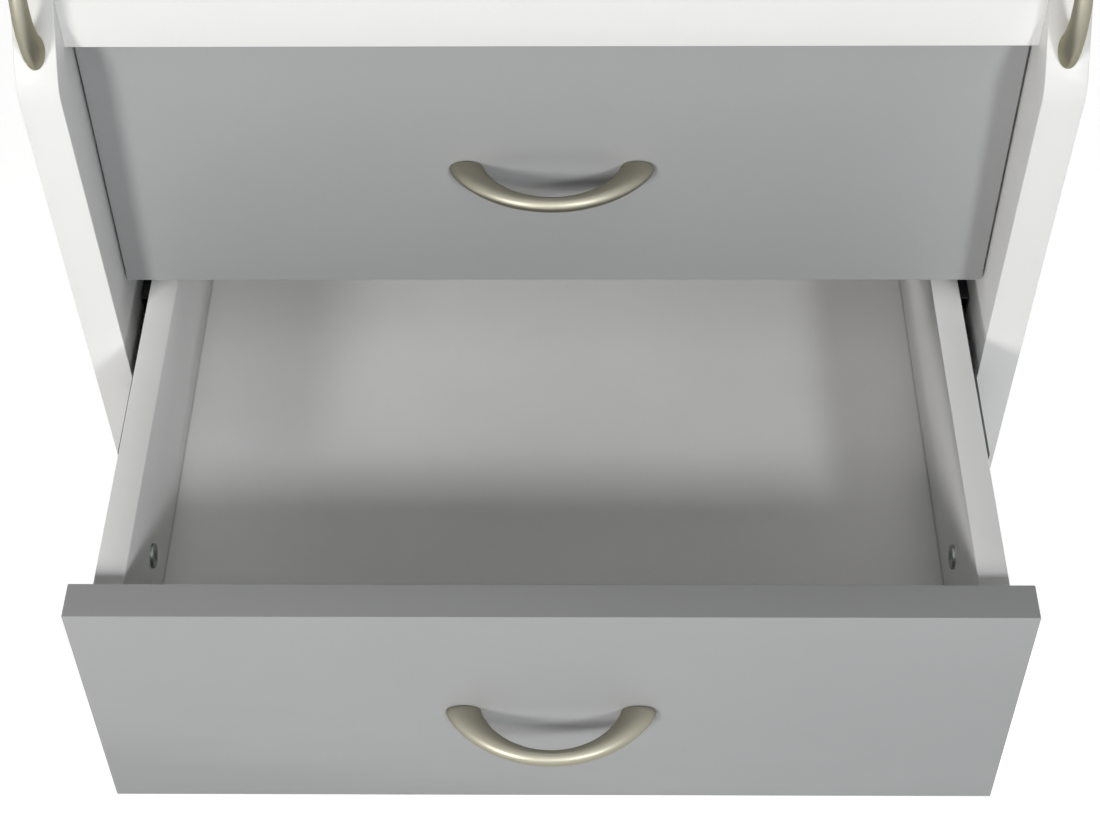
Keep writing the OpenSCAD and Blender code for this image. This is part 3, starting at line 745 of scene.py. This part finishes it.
def add_board(node: str, across: Axis, finish: Finish) -> None:
    """Adds a board with rounded arrises, its narrow faces marked as edge band."""
    name = f"{node}_board"
    mesh = BOARD_ARRIS.rounded(merged(node), name)
    band = mesh.attributes.new(BAND_ATTRIBUTE, "FLOAT", "FACE")
    flat = math.cos(SHARP_ANGLE)
    narrow = [float(abs(p.normal[across.value]) < flat) for p in mesh.polygons]
    band.data.foreach_set("value", narrow)
    add_piece(name, mesh, finish, node)


# Geometry Nodes


class Rule(Tree):
    """A Geometry Nodes tree with named inputs, run once for a plain mesh."""

    def __init__(self, name: str) -> None:
        """Starts an empty tree with a geometry going in and one coming out."""
        super().__init__(bpy.data.node_groups.new(name, "GeometryNodeTree"))
        face = self.tree.interface
        face.new_socket("Geometry", in_out="INPUT", socket_type="NodeSocketGeometry")
        face.new_socket("Geometry", in_out="OUTPUT", socket_type="NodeSocketGeometry")
        self.entry = self.tree.nodes.new("NodeGroupInput")
        self.exit = self.tree.nodes.new("NodeGroupOutput")
        self.values: dict[str, Any] = {}

    def size(self, name: str, value: float | int) -> Term:
        """Adds a named input and the value that it is run with."""
        kind = "NodeSocketInt" if isinstance(value, int) else "NodeSocketFloat"
        made = self.tree.interface.new_socket(name, in_out="INPUT", socket_type=kind)
        self.values[made.identifier] = value
        return self.term(self.entry, name)

    def sizes(self, owner: Any) -> SimpleNamespace:
        """Named inputs for all the numbers among a dataclass's fields.

        Args:
            owner: the dataclass.

        Returns:
            The inputs as Terms, under the fields' names.
        """
        numbers = {item.name: getattr(owner, item.name) for item in fields(owner)}
        return SimpleNamespace(**{
            name: self.size(name.replace("_", " ").capitalize(), value)
            for name, value in numbers.items() if isinstance(value, (int, float))
        })

    def grid(self, across: Term | int, along: Term | int) -> tuple[Term, Term, Term]:
        """A grid of vertices, with each vertex's row and its place in the row.

        Args:
            across: number of vertices in a row.
            along: number of rows.

        Returns:
            The mesh, the row and the place.
        """
        grid = self.add("GeometryNodeMeshGrid", {"Vertices X": along, "Vertices Y": across})
        index = self.term(self.add("GeometryNodeInputIndex"))
        row = self.math("FLOOR", (index + 0.5) / across)
        return self.term(grid), row, index - row * across

    def shaped(self, mesh: Term, place: Term) -> Term:
        """The mesh with each vertex at its place and its seams and poles closed."""
        moved = self.add("GeometryNodeSetPosition", {"Geometry": mesh, "Position": place})
        inputs = {"Geometry": moved.outputs[0], "Distance": WELD}
        return self.term(self.add("GeometryNodeMergeByDistance", inputs))

    def cut(self, mesh: Term, *tools: Term) -> Term:
        """The mesh with the tools cut out of it."""
        node = self.add(
            "GeometryNodeMeshBoolean", {0: mesh}, operation="DIFFERENCE", solver="EXACT"
        )
        for tool in tools:
            self.tree.links.new(tool.socket, node.inputs[1])
        return self.term(node)

    def moved(self, node: bpy.types.Node, place: Term) -> Term:
        """What a node makes, moved to a place."""
        inputs = {"Geometry": node.outputs[0], "Translation": place}
        return self.term(self.add("GeometryNodeTransform", inputs))

    def copies(self, points: Any, shape: Any, turn: Any = None) -> Term:
        """The shape at each point, turned by a rotation if there is one."""
        inputs = {"Points": points, "Instance": shape, "Rotation": turn}
        return self.term(self.add("GeometryNodeInstanceOnPoints", inputs))

    def own_turn(self) -> Term:
        """The rotation that each point carries as its attribute."""
        carried = self.add(
            "GeometryNodeInputNamedAttribute", {"Name": TURN_ATTRIBUTE}, data_type="FLOAT_VECTOR"
        )
        return self.term(self.add("FunctionNodeEulerToRotation", {0: carried.outputs[0]}))

    def run(self, mesh: Mesh, result: Term, finish: Finish, name: str) -> Mesh:
        """Ends the tree in Realize Instances and Set Material, and runs it.

        Args:
            mesh: what goes in.
            result: the geometry that comes out.
            finish: its finish.
            name: the new mesh's name.

        Returns:
            The plain mesh, its faces turned outwards.
        """
        real = self.add("GeometryNodeRealizeInstances", {0: result})
        inputs = {"Geometry": real.outputs[0], "Material": finish.material()}
        dressed = self.add("GeometryNodeSetMaterial", inputs)
        self.tree.links.new(dressed.outputs[0], self.exit.inputs[0])
        holder = held(mesh)
        modifier = holder.modifiers.new(name, "NODES")
        modifier.node_group = self.tree
        for identifier, value in self.values.items():
            modifier[identifier] = value
        made = evaluated(holder, name)
        shape = bmesh.new()
        shape.from_mesh(made)
        bmesh.ops.recalc_face_normals(shape, faces=shape.faces)
        for face in shape.faces:
            face.smooth = True
        shape.to_mesh(made)
        shape.free()
        made.set_sharp_from_angle(angle=SHARP_ANGLE)
        return made


def point_mesh(places: Sequence[tuple[Vector, Vector]]) -> Mesh:
    """A mesh of points that carry their turns.

    Args:
        places: each point and the direction that its copy's Z axis takes.

    Returns:
        The mesh, with the turns as an attribute.
    """
    mesh = bpy.data.meshes.new("places")
    mesh.from_pydata([place for place, _ in places], [], [])
    turns = mesh.attributes.new(TURN_ATTRIBUTE, "FLOAT_VECTOR", "POINT")
    for item, (_, outward) in zip(turns.data, places):
        item.vector = outward.to_track_quat("Z", "Y").to_euler()
    return mesh


@dataclass(frozen=True)
class BowHandle:
    """A bow handle: part of an ellipse, whose round section swells to a flat oval foot."""

    centres: float = 96 * MM
    stand_out: float = 30.2 * MM
    thickness: float = 8.6 * MM
    bow_turn: float = math.radians(68)
    foot_width: float = 19 * MM
    foot_height: float = 11.4 * MM
    foot_swell: float = 2.0
    foot_square: float = 12.0
    seam_height: float = 0.1 * MM
    seam_reach: float = 0.8
    seam_width: float = 0.05
    foot_round: float = 1.4 * MM
    round_share: float = 0.03
    bore: float = 2.05 * MM
    bore_depth: float = 9.5 * MM
    bore_sides: int = 24
    rings: int = 72
    sides: int = 96

    def mesh(self, name: str) -> Mesh:
        """The handle with its feet at z = 0, its bow along X and standing out to +Z."""
        rule = Rule("bow_handle")
        size = rule.sizes(self)
        mesh, row, place = rule.grid(size.sides + 1, size.rings + 3)
        open_row = (row > 0.5) * (row < size.rings + 1.5)
        quarter = math.pi / 2
        along = rule.held(row - 1, 0.0, size.rings) / size.rings
        share = rule.math("SINE", (1 - along * 2) * quarter)
        far = rule.math("ABSOLUTE", share)
        angle, around = share * size.bow_turn, place / size.sides * math.tau
        reach_x = size.centres / 2 / rule.math("SINE", size.bow_turn)
        reach_z = size.stand_out / (1 - rule.math("COSINE", size.bow_turn))

        swell = rule.math("POWER", far, size.foot_swell)
        low = rule.held(1 - (1 - far) / size.round_share, 0.0, 1.0)
        drawn_in = size.foot_round * (1 - rule.math("SQRT", 1 - low * low))
        half_width, half_height = (
            ((size.thickness + (foot - size.thickness) * swell) / 2 - drawn_in) * open_row
            for foot in (size.foot_width, size.foot_height)
        )

        out_x = reach_z * rule.math("SINE", angle)
        square = 1 - rule.math("POWER", far, size.foot_square)
        out_z = reach_x * rule.math("COSINE", angle) * square
        length = rule.math("SQRT", out_x * out_x + out_z * out_z)
        aside = half_width * rule.math("COSINE", around)
        flank = rule.math("ABSOLUTE", rule.math("COSINE", around))
        on_seam = rule.held(1 - flank / size.seam_width, 0.0, 1.0)
        ridge = on_seam * rule.held(1 - far / size.seam_reach, 0.0, 1.0)
        rise = (half_height + ridge * size.seam_height) * rule.math("SINE", around)
        height = rule.math("COSINE", angle) - rule.math("COSINE", size.bow_turn)
        bow = rule.vector(
            reach_x * rule.math("SINE", angle) + out_x / length * aside,
            rise,
            reach_z * height + out_z / length * aside,
        )
        unbent = rule.vector(angle * reach_x, aside, rise)
        named = rule.add(
            "GeometryNodeStoreNamedAttribute",
            {"Geometry": mesh, "Name": UNBENT_ATTRIBUTE, "Value": unbent},
            data_type="FLOAT_VECTOR",
            domain="POINT",
        )
        drill = rule.add(
            "GeometryNodeMeshCylinder",
            {"Vertices": size.bore_sides, "Radius": size.bore, "Depth": size.bore_depth * 2},
        )
        drills = [rule.moved(drill, rule.vector(size.centres * s, 0.0, 0.0)) for s in (-0.5, 0.5)]
        bar = rule.cut(rule.shaped(rule.term(named), bow), *drills)
        return rule.run(bpy.data.meshes.new("empty"), bar, NICKEL, name)


@dataclass(frozen=True)
class Fastener:
    """A turned fastener: a head with a cross recess, and a shank that may be bored."""

    head: float
    height: float
    seat: float
    shank: float
    length: float
    recess: float = 4 * MM
    recess_width: float = 1.4 * MM
    recess_depth: float = 0.9 * MM
    edge: float = 0.3 * MM
    bore: float = 0.0
    bore_depth: float = 0.0
    arc_rows: int = 4
    sides: int = 40
    finish: Finish = ZINC

    def mesh(self, places: Sequence[tuple[Vector, Vector]], name: str) -> Mesh:
        """The fastener at each place.

        Args:
            places: where each head's underside stands, and the way its head points.
            name: the mesh's name.

        Returns:
            All of them as one mesh.
        """
        rule = Rule("fasteners")
        size = rule.sizes(self)
        mesh, row, place = rule.grid(size.sides + 1, size.arc_rows + 8)
        turn = rule.held(row - 1, 0.0, size.arc_rows) / size.arc_rows * math.pi / 2
        radius = (size.head - size.edge + size.edge * rule.math("SINE", turn)) * (row > 0.5)
        level = size.height - size.edge + size.edge * rule.math("COSINE", turn)
        end, floor = -1 * size.length, size.bore_depth - size.length
        corners = [
            (size.seat, 0.0), (size.shank, 0.0), (size.shank, end),
            (size.bore, end), (size.bore, floor), (0.0, floor),
        ]
        for number, (corner_radius, corner_level) in enumerate(corners):
            past = row > size.arc_rows + (number + 1.5)
            radius = radius + past * (corner_radius - radius)
            level = level + past * (corner_level - level)
        around = place / size.sides * math.tau
        ring = (radius * rule.math(wave, around) for wave in ("COSINE", "SINE"))
        turned = rule.shaped(mesh, rule.vector(*ring, level))
        top, depth = rule.vector(0.0, 0.0, size.height), size.recess_depth * 2
        arms = [
            rule.moved(rule.add("GeometryNodeMeshCube", {"Size": rule.vector(x, y, depth)}), top)
            for x, y in ((size.recess, size.recess_width), (size.recess_width, size.recess))
        ]
        spots, turns = rule.term(rule.entry), rule.own_turn()
        result = rule.copies(spots, rule.cut(turned, *arms), turns)
        return rule.run(point_mesh(places), result, self.finish, name)

    def add(self, name: str, node: str, heads: Iterable[tuple[Box, Vector]]) -> None:
        """Adds the fasteners that stand for a CAD node.

        Args:
            name: the piece's name.
            node: the CAD node.
            heads: the box round each fastener, and the way its head points.
        """
        places = []
        for box, outward in heads:
            reach = sum(abs(o) * s for o, s in zip(outward, box.size)) / 2
            places.append((box.middle + outward * (reach - self.height), outward))
        add_piece(name, self.mesh(places, name), self.finish, node)


RUNNER_SCREW = Fastener(
    head=3.2 * MM, height=1.2 * MM, seat=1.75 * MM, shank=1.75 * MM, length=16 * MM, edge=0.1 * MM
)


@dataclass(frozen=True)
class BallRows:
    """Rows of bearing balls along the runners."""

    diameter: float = 3.5 * MM
    balls: int = 4
    pitch: float = 37.5 * MM
    sides: int = 20
    rings: int = 12

    def mesh(self, starts: Sequence[Vector], name: str) -> Mesh:
        """A row of balls along Y from each start, as one mesh."""
        rule = Rule("ball_rows")
        size = rule.sizes(self)
        step = rule.vector(0.0, size.pitch, 0.0)
        line = rule.add("GeometryNodeMeshLine", {"Count": size.balls, "Offset": step})
        ball = rule.add(
            "GeometryNodeMeshUVSphere",
            {"Segments": size.sides, "Rings": size.rings, "Radius": size.diameter / 2},
        )
        row = rule.copies(line.outputs[0], ball.outputs[0])
        mesh = bpy.data.meshes.new("starts")
        mesh.from_pydata(list(starts), [], [])
        return rule.run(mesh, rule.copies(rule.term(rule.entry), row), ZINC, name)


# Sub-assemblies


def outward_x(box: Box) -> Vector:
    """The way from the middle plane to a box, along X."""
    return Vector((math.copysign(1.0, box.middle.x), 0.0, 0.0))


@dataclass(frozen=True)
class Carcass:
    """Cheeks, cross boards and what is fixed to them."""

    handle: BowHandle = BowHandle()
    back_screw: Fastener = Fastener(
        head=3.5 * MM, height=2 * MM, seat=3.5 * MM, shank=1.75 * MM, length=17.5 * MM,
        edge=0.6 * MM,
    )
    shoulder_lean: float = math.radians(33.8)
    boards: tuple[tuple[str, Axis], ...] = (
        ("left_cheek", Axis.X), ("right_cheek", Axis.X), ("base_panel", Axis.Z),
        ("top_panel", Axis.Z), ("fascia", Axis.Y), ("back_guard", Axis.Y),
    )

    def build(self) -> None:
        """Boards first, then handles and fittings."""
        for node, across in self.boards:
            add_board(node, across, WHITE_MELAMINE)
        add_rounded("back_panel", HARDBOARD, HARDBOARD_ARRIS)
        for side in ("left", "right"):
            self.cheek_handle(f"{side}_cheek_handle")
        node = "back_panel_screws"
        self.back_screw.add(
            "back_panel_screw_set", node, [(box, BACKWARD) for box in boxes_of(node)]
        )
        add_rounded("carcass_cams", ZINC, FINE_ARRIS)
        dress_node("carcass_cam_bolts", ZINC)
        dress_node("cheek_handle_studs", ZINC)
        dress_node("carcass_dowels", BEECH)

    def cheek_handle(self, node: str) -> None:
        """A bow handle that stands on a cheek's leaning shoulder."""
        name = f"{node}_bow"
        mesh = self.handle.mesh(name)
        mesh.transform(Matrix.Rotation(math.radians(90), 4, "X"))
        mesh.transform(Matrix.Rotation(math.radians(-90), 4, "Y"))
        mesh.transform(Matrix.Rotation(-self.shoulder_lean, 4, "X"))
        middle = Box(*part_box(node)).middle
        mesh.transform(Matrix.Translation(middle - Box.round(mesh.vertices).middle))
        add_piece(name, mesh, NICKEL, node)


@dataclass(frozen=True)
class Drawer:
    """A drawer: its front, box, handle and fittings."""

    place: Place
    handle: BowHandle = BowHandle()
    handle_screw: Fastener = Fastener(
        head=3.5 * MM, height=2.2 * MM, seat=3.5 * MM, shank=2 * MM, length=30 * MM, edge=0.7 * MM
    )
    sleeve: Fastener = Fastener(
        head=7 * MM, height=1.8 * MM, seat=7 * MM, shank=3.5 * MM, length=15.5 * MM,
        recess=8 * MM, edge=0.8 * MM, bore=2 * MM, bore_depth=12.5 * MM, finish=NUT_PLATE,
    )
    sleeve_screw: Fastener = replace(RUNNER_SCREW, length=12 * MM, finish=NUT_PLATE)

    def node(self, part: str) -> str:
        """The CAD node of one of the drawer's parts."""
        return f"{self.place.value}_{part}"

    def build(self) -> None:
        """Front and box, then handle and fittings."""
        add_board(self.node("front"), Axis.Y, GREY_MELAMINE)
        for part, across in (("left_side", Axis.X), ("right_side", Axis.X), ("back", Axis.Y)):
            add_board(self.node(part), across, WHITE_MELAMINE)
        _, side_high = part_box(self.node("left_side"))
        # The bottom gets painted shade along its joints with the sides.
        bottom = replace(HARDBOARD, name="drawer_bottom_hardboard", seam_at=abs(side_high.x))
        add_rounded(self.node("bottom"), bottom, HARDBOARD_ARRIS)
        self.front_handle()
        node = self.node("handle_screws")
        self.handle_screw.add(f"{node}_set", node, [(box, BACKWARD) for box in boxes_of(node)])
        self.sleeve_nuts()
        add_rounded(self.node("cams"), ZINC, FINE_ARRIS)
        dress_node(self.node("cam_bolts"), ZINC)

    def front_handle(self) -> None:
        """The bow handle on the front's face."""
        node = self.node("handle")
        name = f"{node}_bow"
        mesh = self.handle.mesh(name)
        mesh.transform(Matrix.Rotation(math.radians(90), 4, "X"))
        box = Box(*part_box(node))
        mesh.transform(Matrix.Translation((box.middle.x, box.high.y, box.middle.z)))
        add_piece(name, mesh, NICKEL, node)

    def sleeve_nuts(self) -> None:
        """Sleeve nuts from the box's inside, and the screws that draw them tight."""
        node = self.node("sleeve_nuts")
        sleeves, screws = [], []
        for box in boxes_of(node):
            if box.size.z > self.sleeve.head:
                sleeves.append((box, -outward_x(box)))
            else:
                screws.append((box, outward_x(box)))
        self.sleeve.add(f"{node}_sleeves", node, sleeves)
        self.sleeve_screw.add(f"{node}_screws", node, screws)


@dataclass(frozen=True)
class RunnerSet:
    """The pair of ball runners of one drawer."""

    place: Place
    rows: BallRows = BallRows()
    same_row: int = 4

    def build(self) -> None:
        """Members with rounded bends, then the cages and their balls."""
        for part in ("cabinet_runners", "middle_runners", "drawer_runners"):
            add_rounded(f"{self.place.value}_{part}", RUNNER_STEEL, SHEET_ARRIS)
        for part in ("outer_cages", "inner_cages"):
            self.cages(f"{self.place.value}_{part}")

    def cages(self, node: str) -> None:
        """The strips of a pair of cages, and the balls that they hold."""
        shape = merged(node)
        balls, starts = [], {}
        for group in solids_of(shape):
            box = Box.round(group)
            if max(box.size) < 2 * self.rows.diameter:
                balls.extend(group)
                key = (round(box.middle.x, self.same_row), round(box.middle.z, self.same_row))
                first = starts.setdefault(key, box.middle)
                if box.middle.y < first.y:
                    starts[key] = box.middle
        bmesh.ops.delete(shape, geom=balls, context="VERTS")
        name = f"{node}_strips"
        add_piece(name, FINE_ARRIS.rounded(shape, name), ZINC, node)
        name = f"{node}_balls"
        add_piece(name, self.rows.mesh(list(starts.values()), name), ZINC, node)


def add_cabinet_screws() -> None:
    """The countersunk screws that hold the cabinet runners, as one piece."""
    node = "cabinet_runner_screws"
    RUNNER_SCREW.add(f"{node}_set", node, [(box, -outward_x(box)) for box in boxes_of(node)])


@dataclass(frozen=True)
class CasterPlates:
    """The four fixed plates and their screws."""

    screw: Fastener = Fastener(
        head=4 * MM, height=2 * MM, seat=4 * MM, shank=2 * MM, length=16 * MM, edge=0.8 * MM
    )

    def build(self) -> None:
        """Plates with their races and kingpins, then the screws."""
        add_rounded("caster_plates", ZINC, SHEET_ARRIS)
        node = "caster_screws"
        self.screw.add(f"{node}_set", node, [(box, DOWNWARD) for box in boxes_of(node)])


@dataclass(frozen=True)
class Caster:
    """The turning part of one caster, and the sizes of its wheel's section."""

    corner: Corner
    bore: float = 4.05 * MM
    hub: float = 9 * MM
    rim: float = 19.6 * MM
    tread: float = 21.6 * MM
    crown: float = 4.5 * MM
    dish: float = 2.5 * MM
    draft: float = 1 * MM
    ease: float = 0.4 * MM
    rib_thickness: float = 1.6 * MM
    rib_setback: float = 0.9 * MM
    rib_root: float = 0.2 * MM
    segments: int = 72
    crown_steps: int = 6
    ribs: int = 6

    def build(self) -> None:
        """Fork, axle and wheel."""
        add_rounded(f"{self.corner.value}_fork", ZINC, SHEET_ARRIS)
        add_rounded(f"{self.corner.value}_axle", ZINC, FINE_ARRIS)
        self.wheel(f"{self.corner.value}_wheel")

    def half_section(self, radius: float, half: float) -> list[tuple[float, float]]:
        """The outline of one half of the wheel's section.

        Args:
            radius: the wheel's radius.
            half: half of the wheel's width.

        Returns:
            Its points from the bore to the tread, as radius and X.
        """
        floor = half - self.dish
        flank = [
            (self.bore, half), (self.hub - self.ease, half), (self.hub, half - self.ease),
            (self.hub + self.draft, floor), (self.rim - self.draft, floor),
            (self.rim, half - self.ease), (self.rim + self.ease, half),
        ]
        turns = [math.pi / 2 * step / self.crown_steps for step in range(self.crown_steps + 1)]
        crown = [
            (
                self.tread + (radius - self.tread) * math.sin(turn),
                self.crown + (half - self.crown) * math.cos(turn),
            )
            for turn in turns
        ]
        return flank + crown

    def add_ribs(self, shape: Shape, half: float) -> None:
        """Adds ribs from the hub to the rim in both dishes of a wheel."""
        low, high = half - self.dish - self.rib_root, half - self.rib_setback
        size = Matrix.Diagonal((high - low, self.rim - self.hub, self.rib_thickness, 1))
        for step in range(self.ribs):
            turn = Matrix.Rotation(math.tau * step / self.ribs, 4, "X")
            for side in (-1, 1):
                place = Matrix.Translation((side * (low + high) / 2, (self.hub + self.rim) / 2, 0))
                bmesh.ops.create_cube(shape, size=1.0, matrix=turn @ place @ size)

    def wheel(self, node: str) -> None:
        """A wheel with a rounded tread, dished sides and ribs in the dishes."""
        box = Box(*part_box(node))
        half = box.size.x / 2
        outline = self.half_section(box.size.z / 2, half)
        outline += [(r, -x) for r, x in reversed(outline)]
        shape = bmesh.new()
        turns = [math.tau * step / self.segments for step in range(self.segments)]
        rings = [
            [shape.verts.new((x, r * math.cos(turn), r * math.sin(turn))) for r, x in outline]
            for turn in turns
        ]
        for ring, after in zip(rings, rings[1:] + rings[:1]):
            for i in range(len(ring)):
                shape.faces.new((ring[i - 1], ring[i], after[i], after[i - 1]))
        bmesh.ops.recalc_face_normals(shape, faces=shape.faces)
        self.add_ribs(shape, half)
        for face in shape.faces:
            face.smooth = True
        mesh = to_mesh(shape, f"{node}_tyre")
        mesh.transform(Matrix.Translation(box.middle))
        mesh.set_sharp_from_angle(angle=SHARP_ANGLE)
        add_piece(mesh.name, mesh, WHEEL_PLASTIC, node)


# Studio


@dataclass(frozen=True)
class Lamp:
    """A soft rectangular lamp that faces the pedestal."""

    name: str
    azimuth: float
    elevation: float
    width: float
    height: float
    light: float
    tint: Colour = (1.0, 1.0, 1.0)
    distance: float = 3.0

    def build(self, target: Vector) -> None:
        """Hangs the lamp; its light is 1 where a white board facing it looks white."""
        data = bpy.data.lights.new(self.name, "AREA")
        data.shape = "RECTANGLE"
        data.size, data.size_y = self.width, self.height
        data.energy = self.light * (math.pi * self.distance) ** 2
        data.color = self.tint
        a, e = math.radians(self.azimuth), math.radians(self.elevation)
        away = Vector((math.sin(a) * math.cos(e), -math.cos(a) * math.cos(e), math.sin(e)))
        lamp = held(data)
        lamp.location = target + away * self.distance
        lamp.rotation_euler = away.to_track_quat("Z", "Y").to_euler()


@dataclass(frozen=True)
class Studio:
    """Floor, lamps, world and the camera of the photograph."""

    camera_place: Vector = Vector((0.0131, -0.94665, 1.1243))
    pitch: float = math.radians(-48.5)
    yaw: float = math.radians(-1.07)
    roll: float = math.radians(-0.77)
    lens: float = 67.58
    sensor: float = 36.0
    clip_start: float = 0.05
    clip_end: float = 100.0
    ambient: float = 0.03
    subject: Vector = Vector((0.0, -0.2, 0.3))
    floor_size: float = 60.0
    lamps: tuple[Lamp, ...] = (
        Lamp(
            "left_lamp", azimuth=-33, elevation=19.5, width=0.4, height=0.45, light=0.48,
            tint=(1.0, 0.98, 0.955), distance=2.3,
        ),
        Lamp(
            "right_lamp", azimuth=27, elevation=28, width=0.5, height=0.5, light=0.37,
            tint=(0.96, 0.99, 1.0), distance=4.0,
        ),
        Lamp("front_fill", azimuth=0, elevation=26, width=1.5, height=1.0, light=0.13),
        Lamp("top_fill", azimuth=10, elevation=62, width=2.0, height=1.5, light=0.11),
        Lamp("left_back_lamp", azimuth=-138, elevation=1, width=1.2, height=0.4, light=0.34),
        Lamp("right_back_lamp", azimuth=138, elevation=1, width=1.2, height=0.4, light=0.34),
    )

    def build(self) -> None:
        """Sets the scene up round the pedestal."""
        self.floor()
        self.world()
        self.camera()
        for lamp in self.lamps:
            lamp.build(self.subject)
        bpy.context.scene.view_settings.view_transform = "Standard"

    def floor(self) -> None:
        """One large pale plane under the casters."""
        half = self.floor_size / 2
        mesh = bpy.data.meshes.new("floor")
        corners = [(-half, -half, 0), (half, -half, 0), (half, half, 0), (-half, half, 0)]
        mesh.from_pydata(corners, [], [range(len(corners))])
        mesh.materials.append(FLOOR_PAINT.material())
        held(mesh)

    def world(self) -> None:
        """A white backdrop that gives the object only a little light."""
        world = bpy.data.worlds.new("studio")
        world.use_nodes = True
        tree = Tree(world.node_tree)
        sky = world.node_tree.nodes["Background"]
        tree.feed(sky.inputs["Color"], (1.0, 1.0, 1.0, 1.0))
        tree.feed(sky.inputs["Strength"], tree.shown() * (1 - self.ambient) + self.ambient)
        bpy.context.scene.world = world

    def camera(self) -> None:
        """The camera at the photograph's place and angle."""
        data = bpy.data.cameras.new("camera")
        data.lens, data.sensor_width = self.lens, self.sensor
        data.clip_start, data.clip_end = self.clip_start, self.clip_end
        camera = held(data)
        place = Matrix.Translation(self.camera_place)
        tilt = Matrix.Rotation(math.pi / 2 + self.pitch, 4, "X")
        turn = Matrix.Rotation(-self.yaw, 4, "Z") @ tilt @ Matrix.Rotation(self.roll, 4, "Z")
        camera.matrix_world = place @ turn
        bpy.context.scene.camera = camera


def main() -> None:
    """Builds the pedestal's sub-assemblies in order, then the studio."""
    logging.basicConfig(level=logging.INFO, format="%(name)s: %(message)s")
    Carcass().build()
    for place in Place:
        Drawer(place).build()
        RunnerSet(place).build()
    add_cabinet_screws()
    CasterPlates().build()
    for corner in Corner:
        Caster(corner).build()
    Studio().build()


if __name__ == "__main__":
    main()
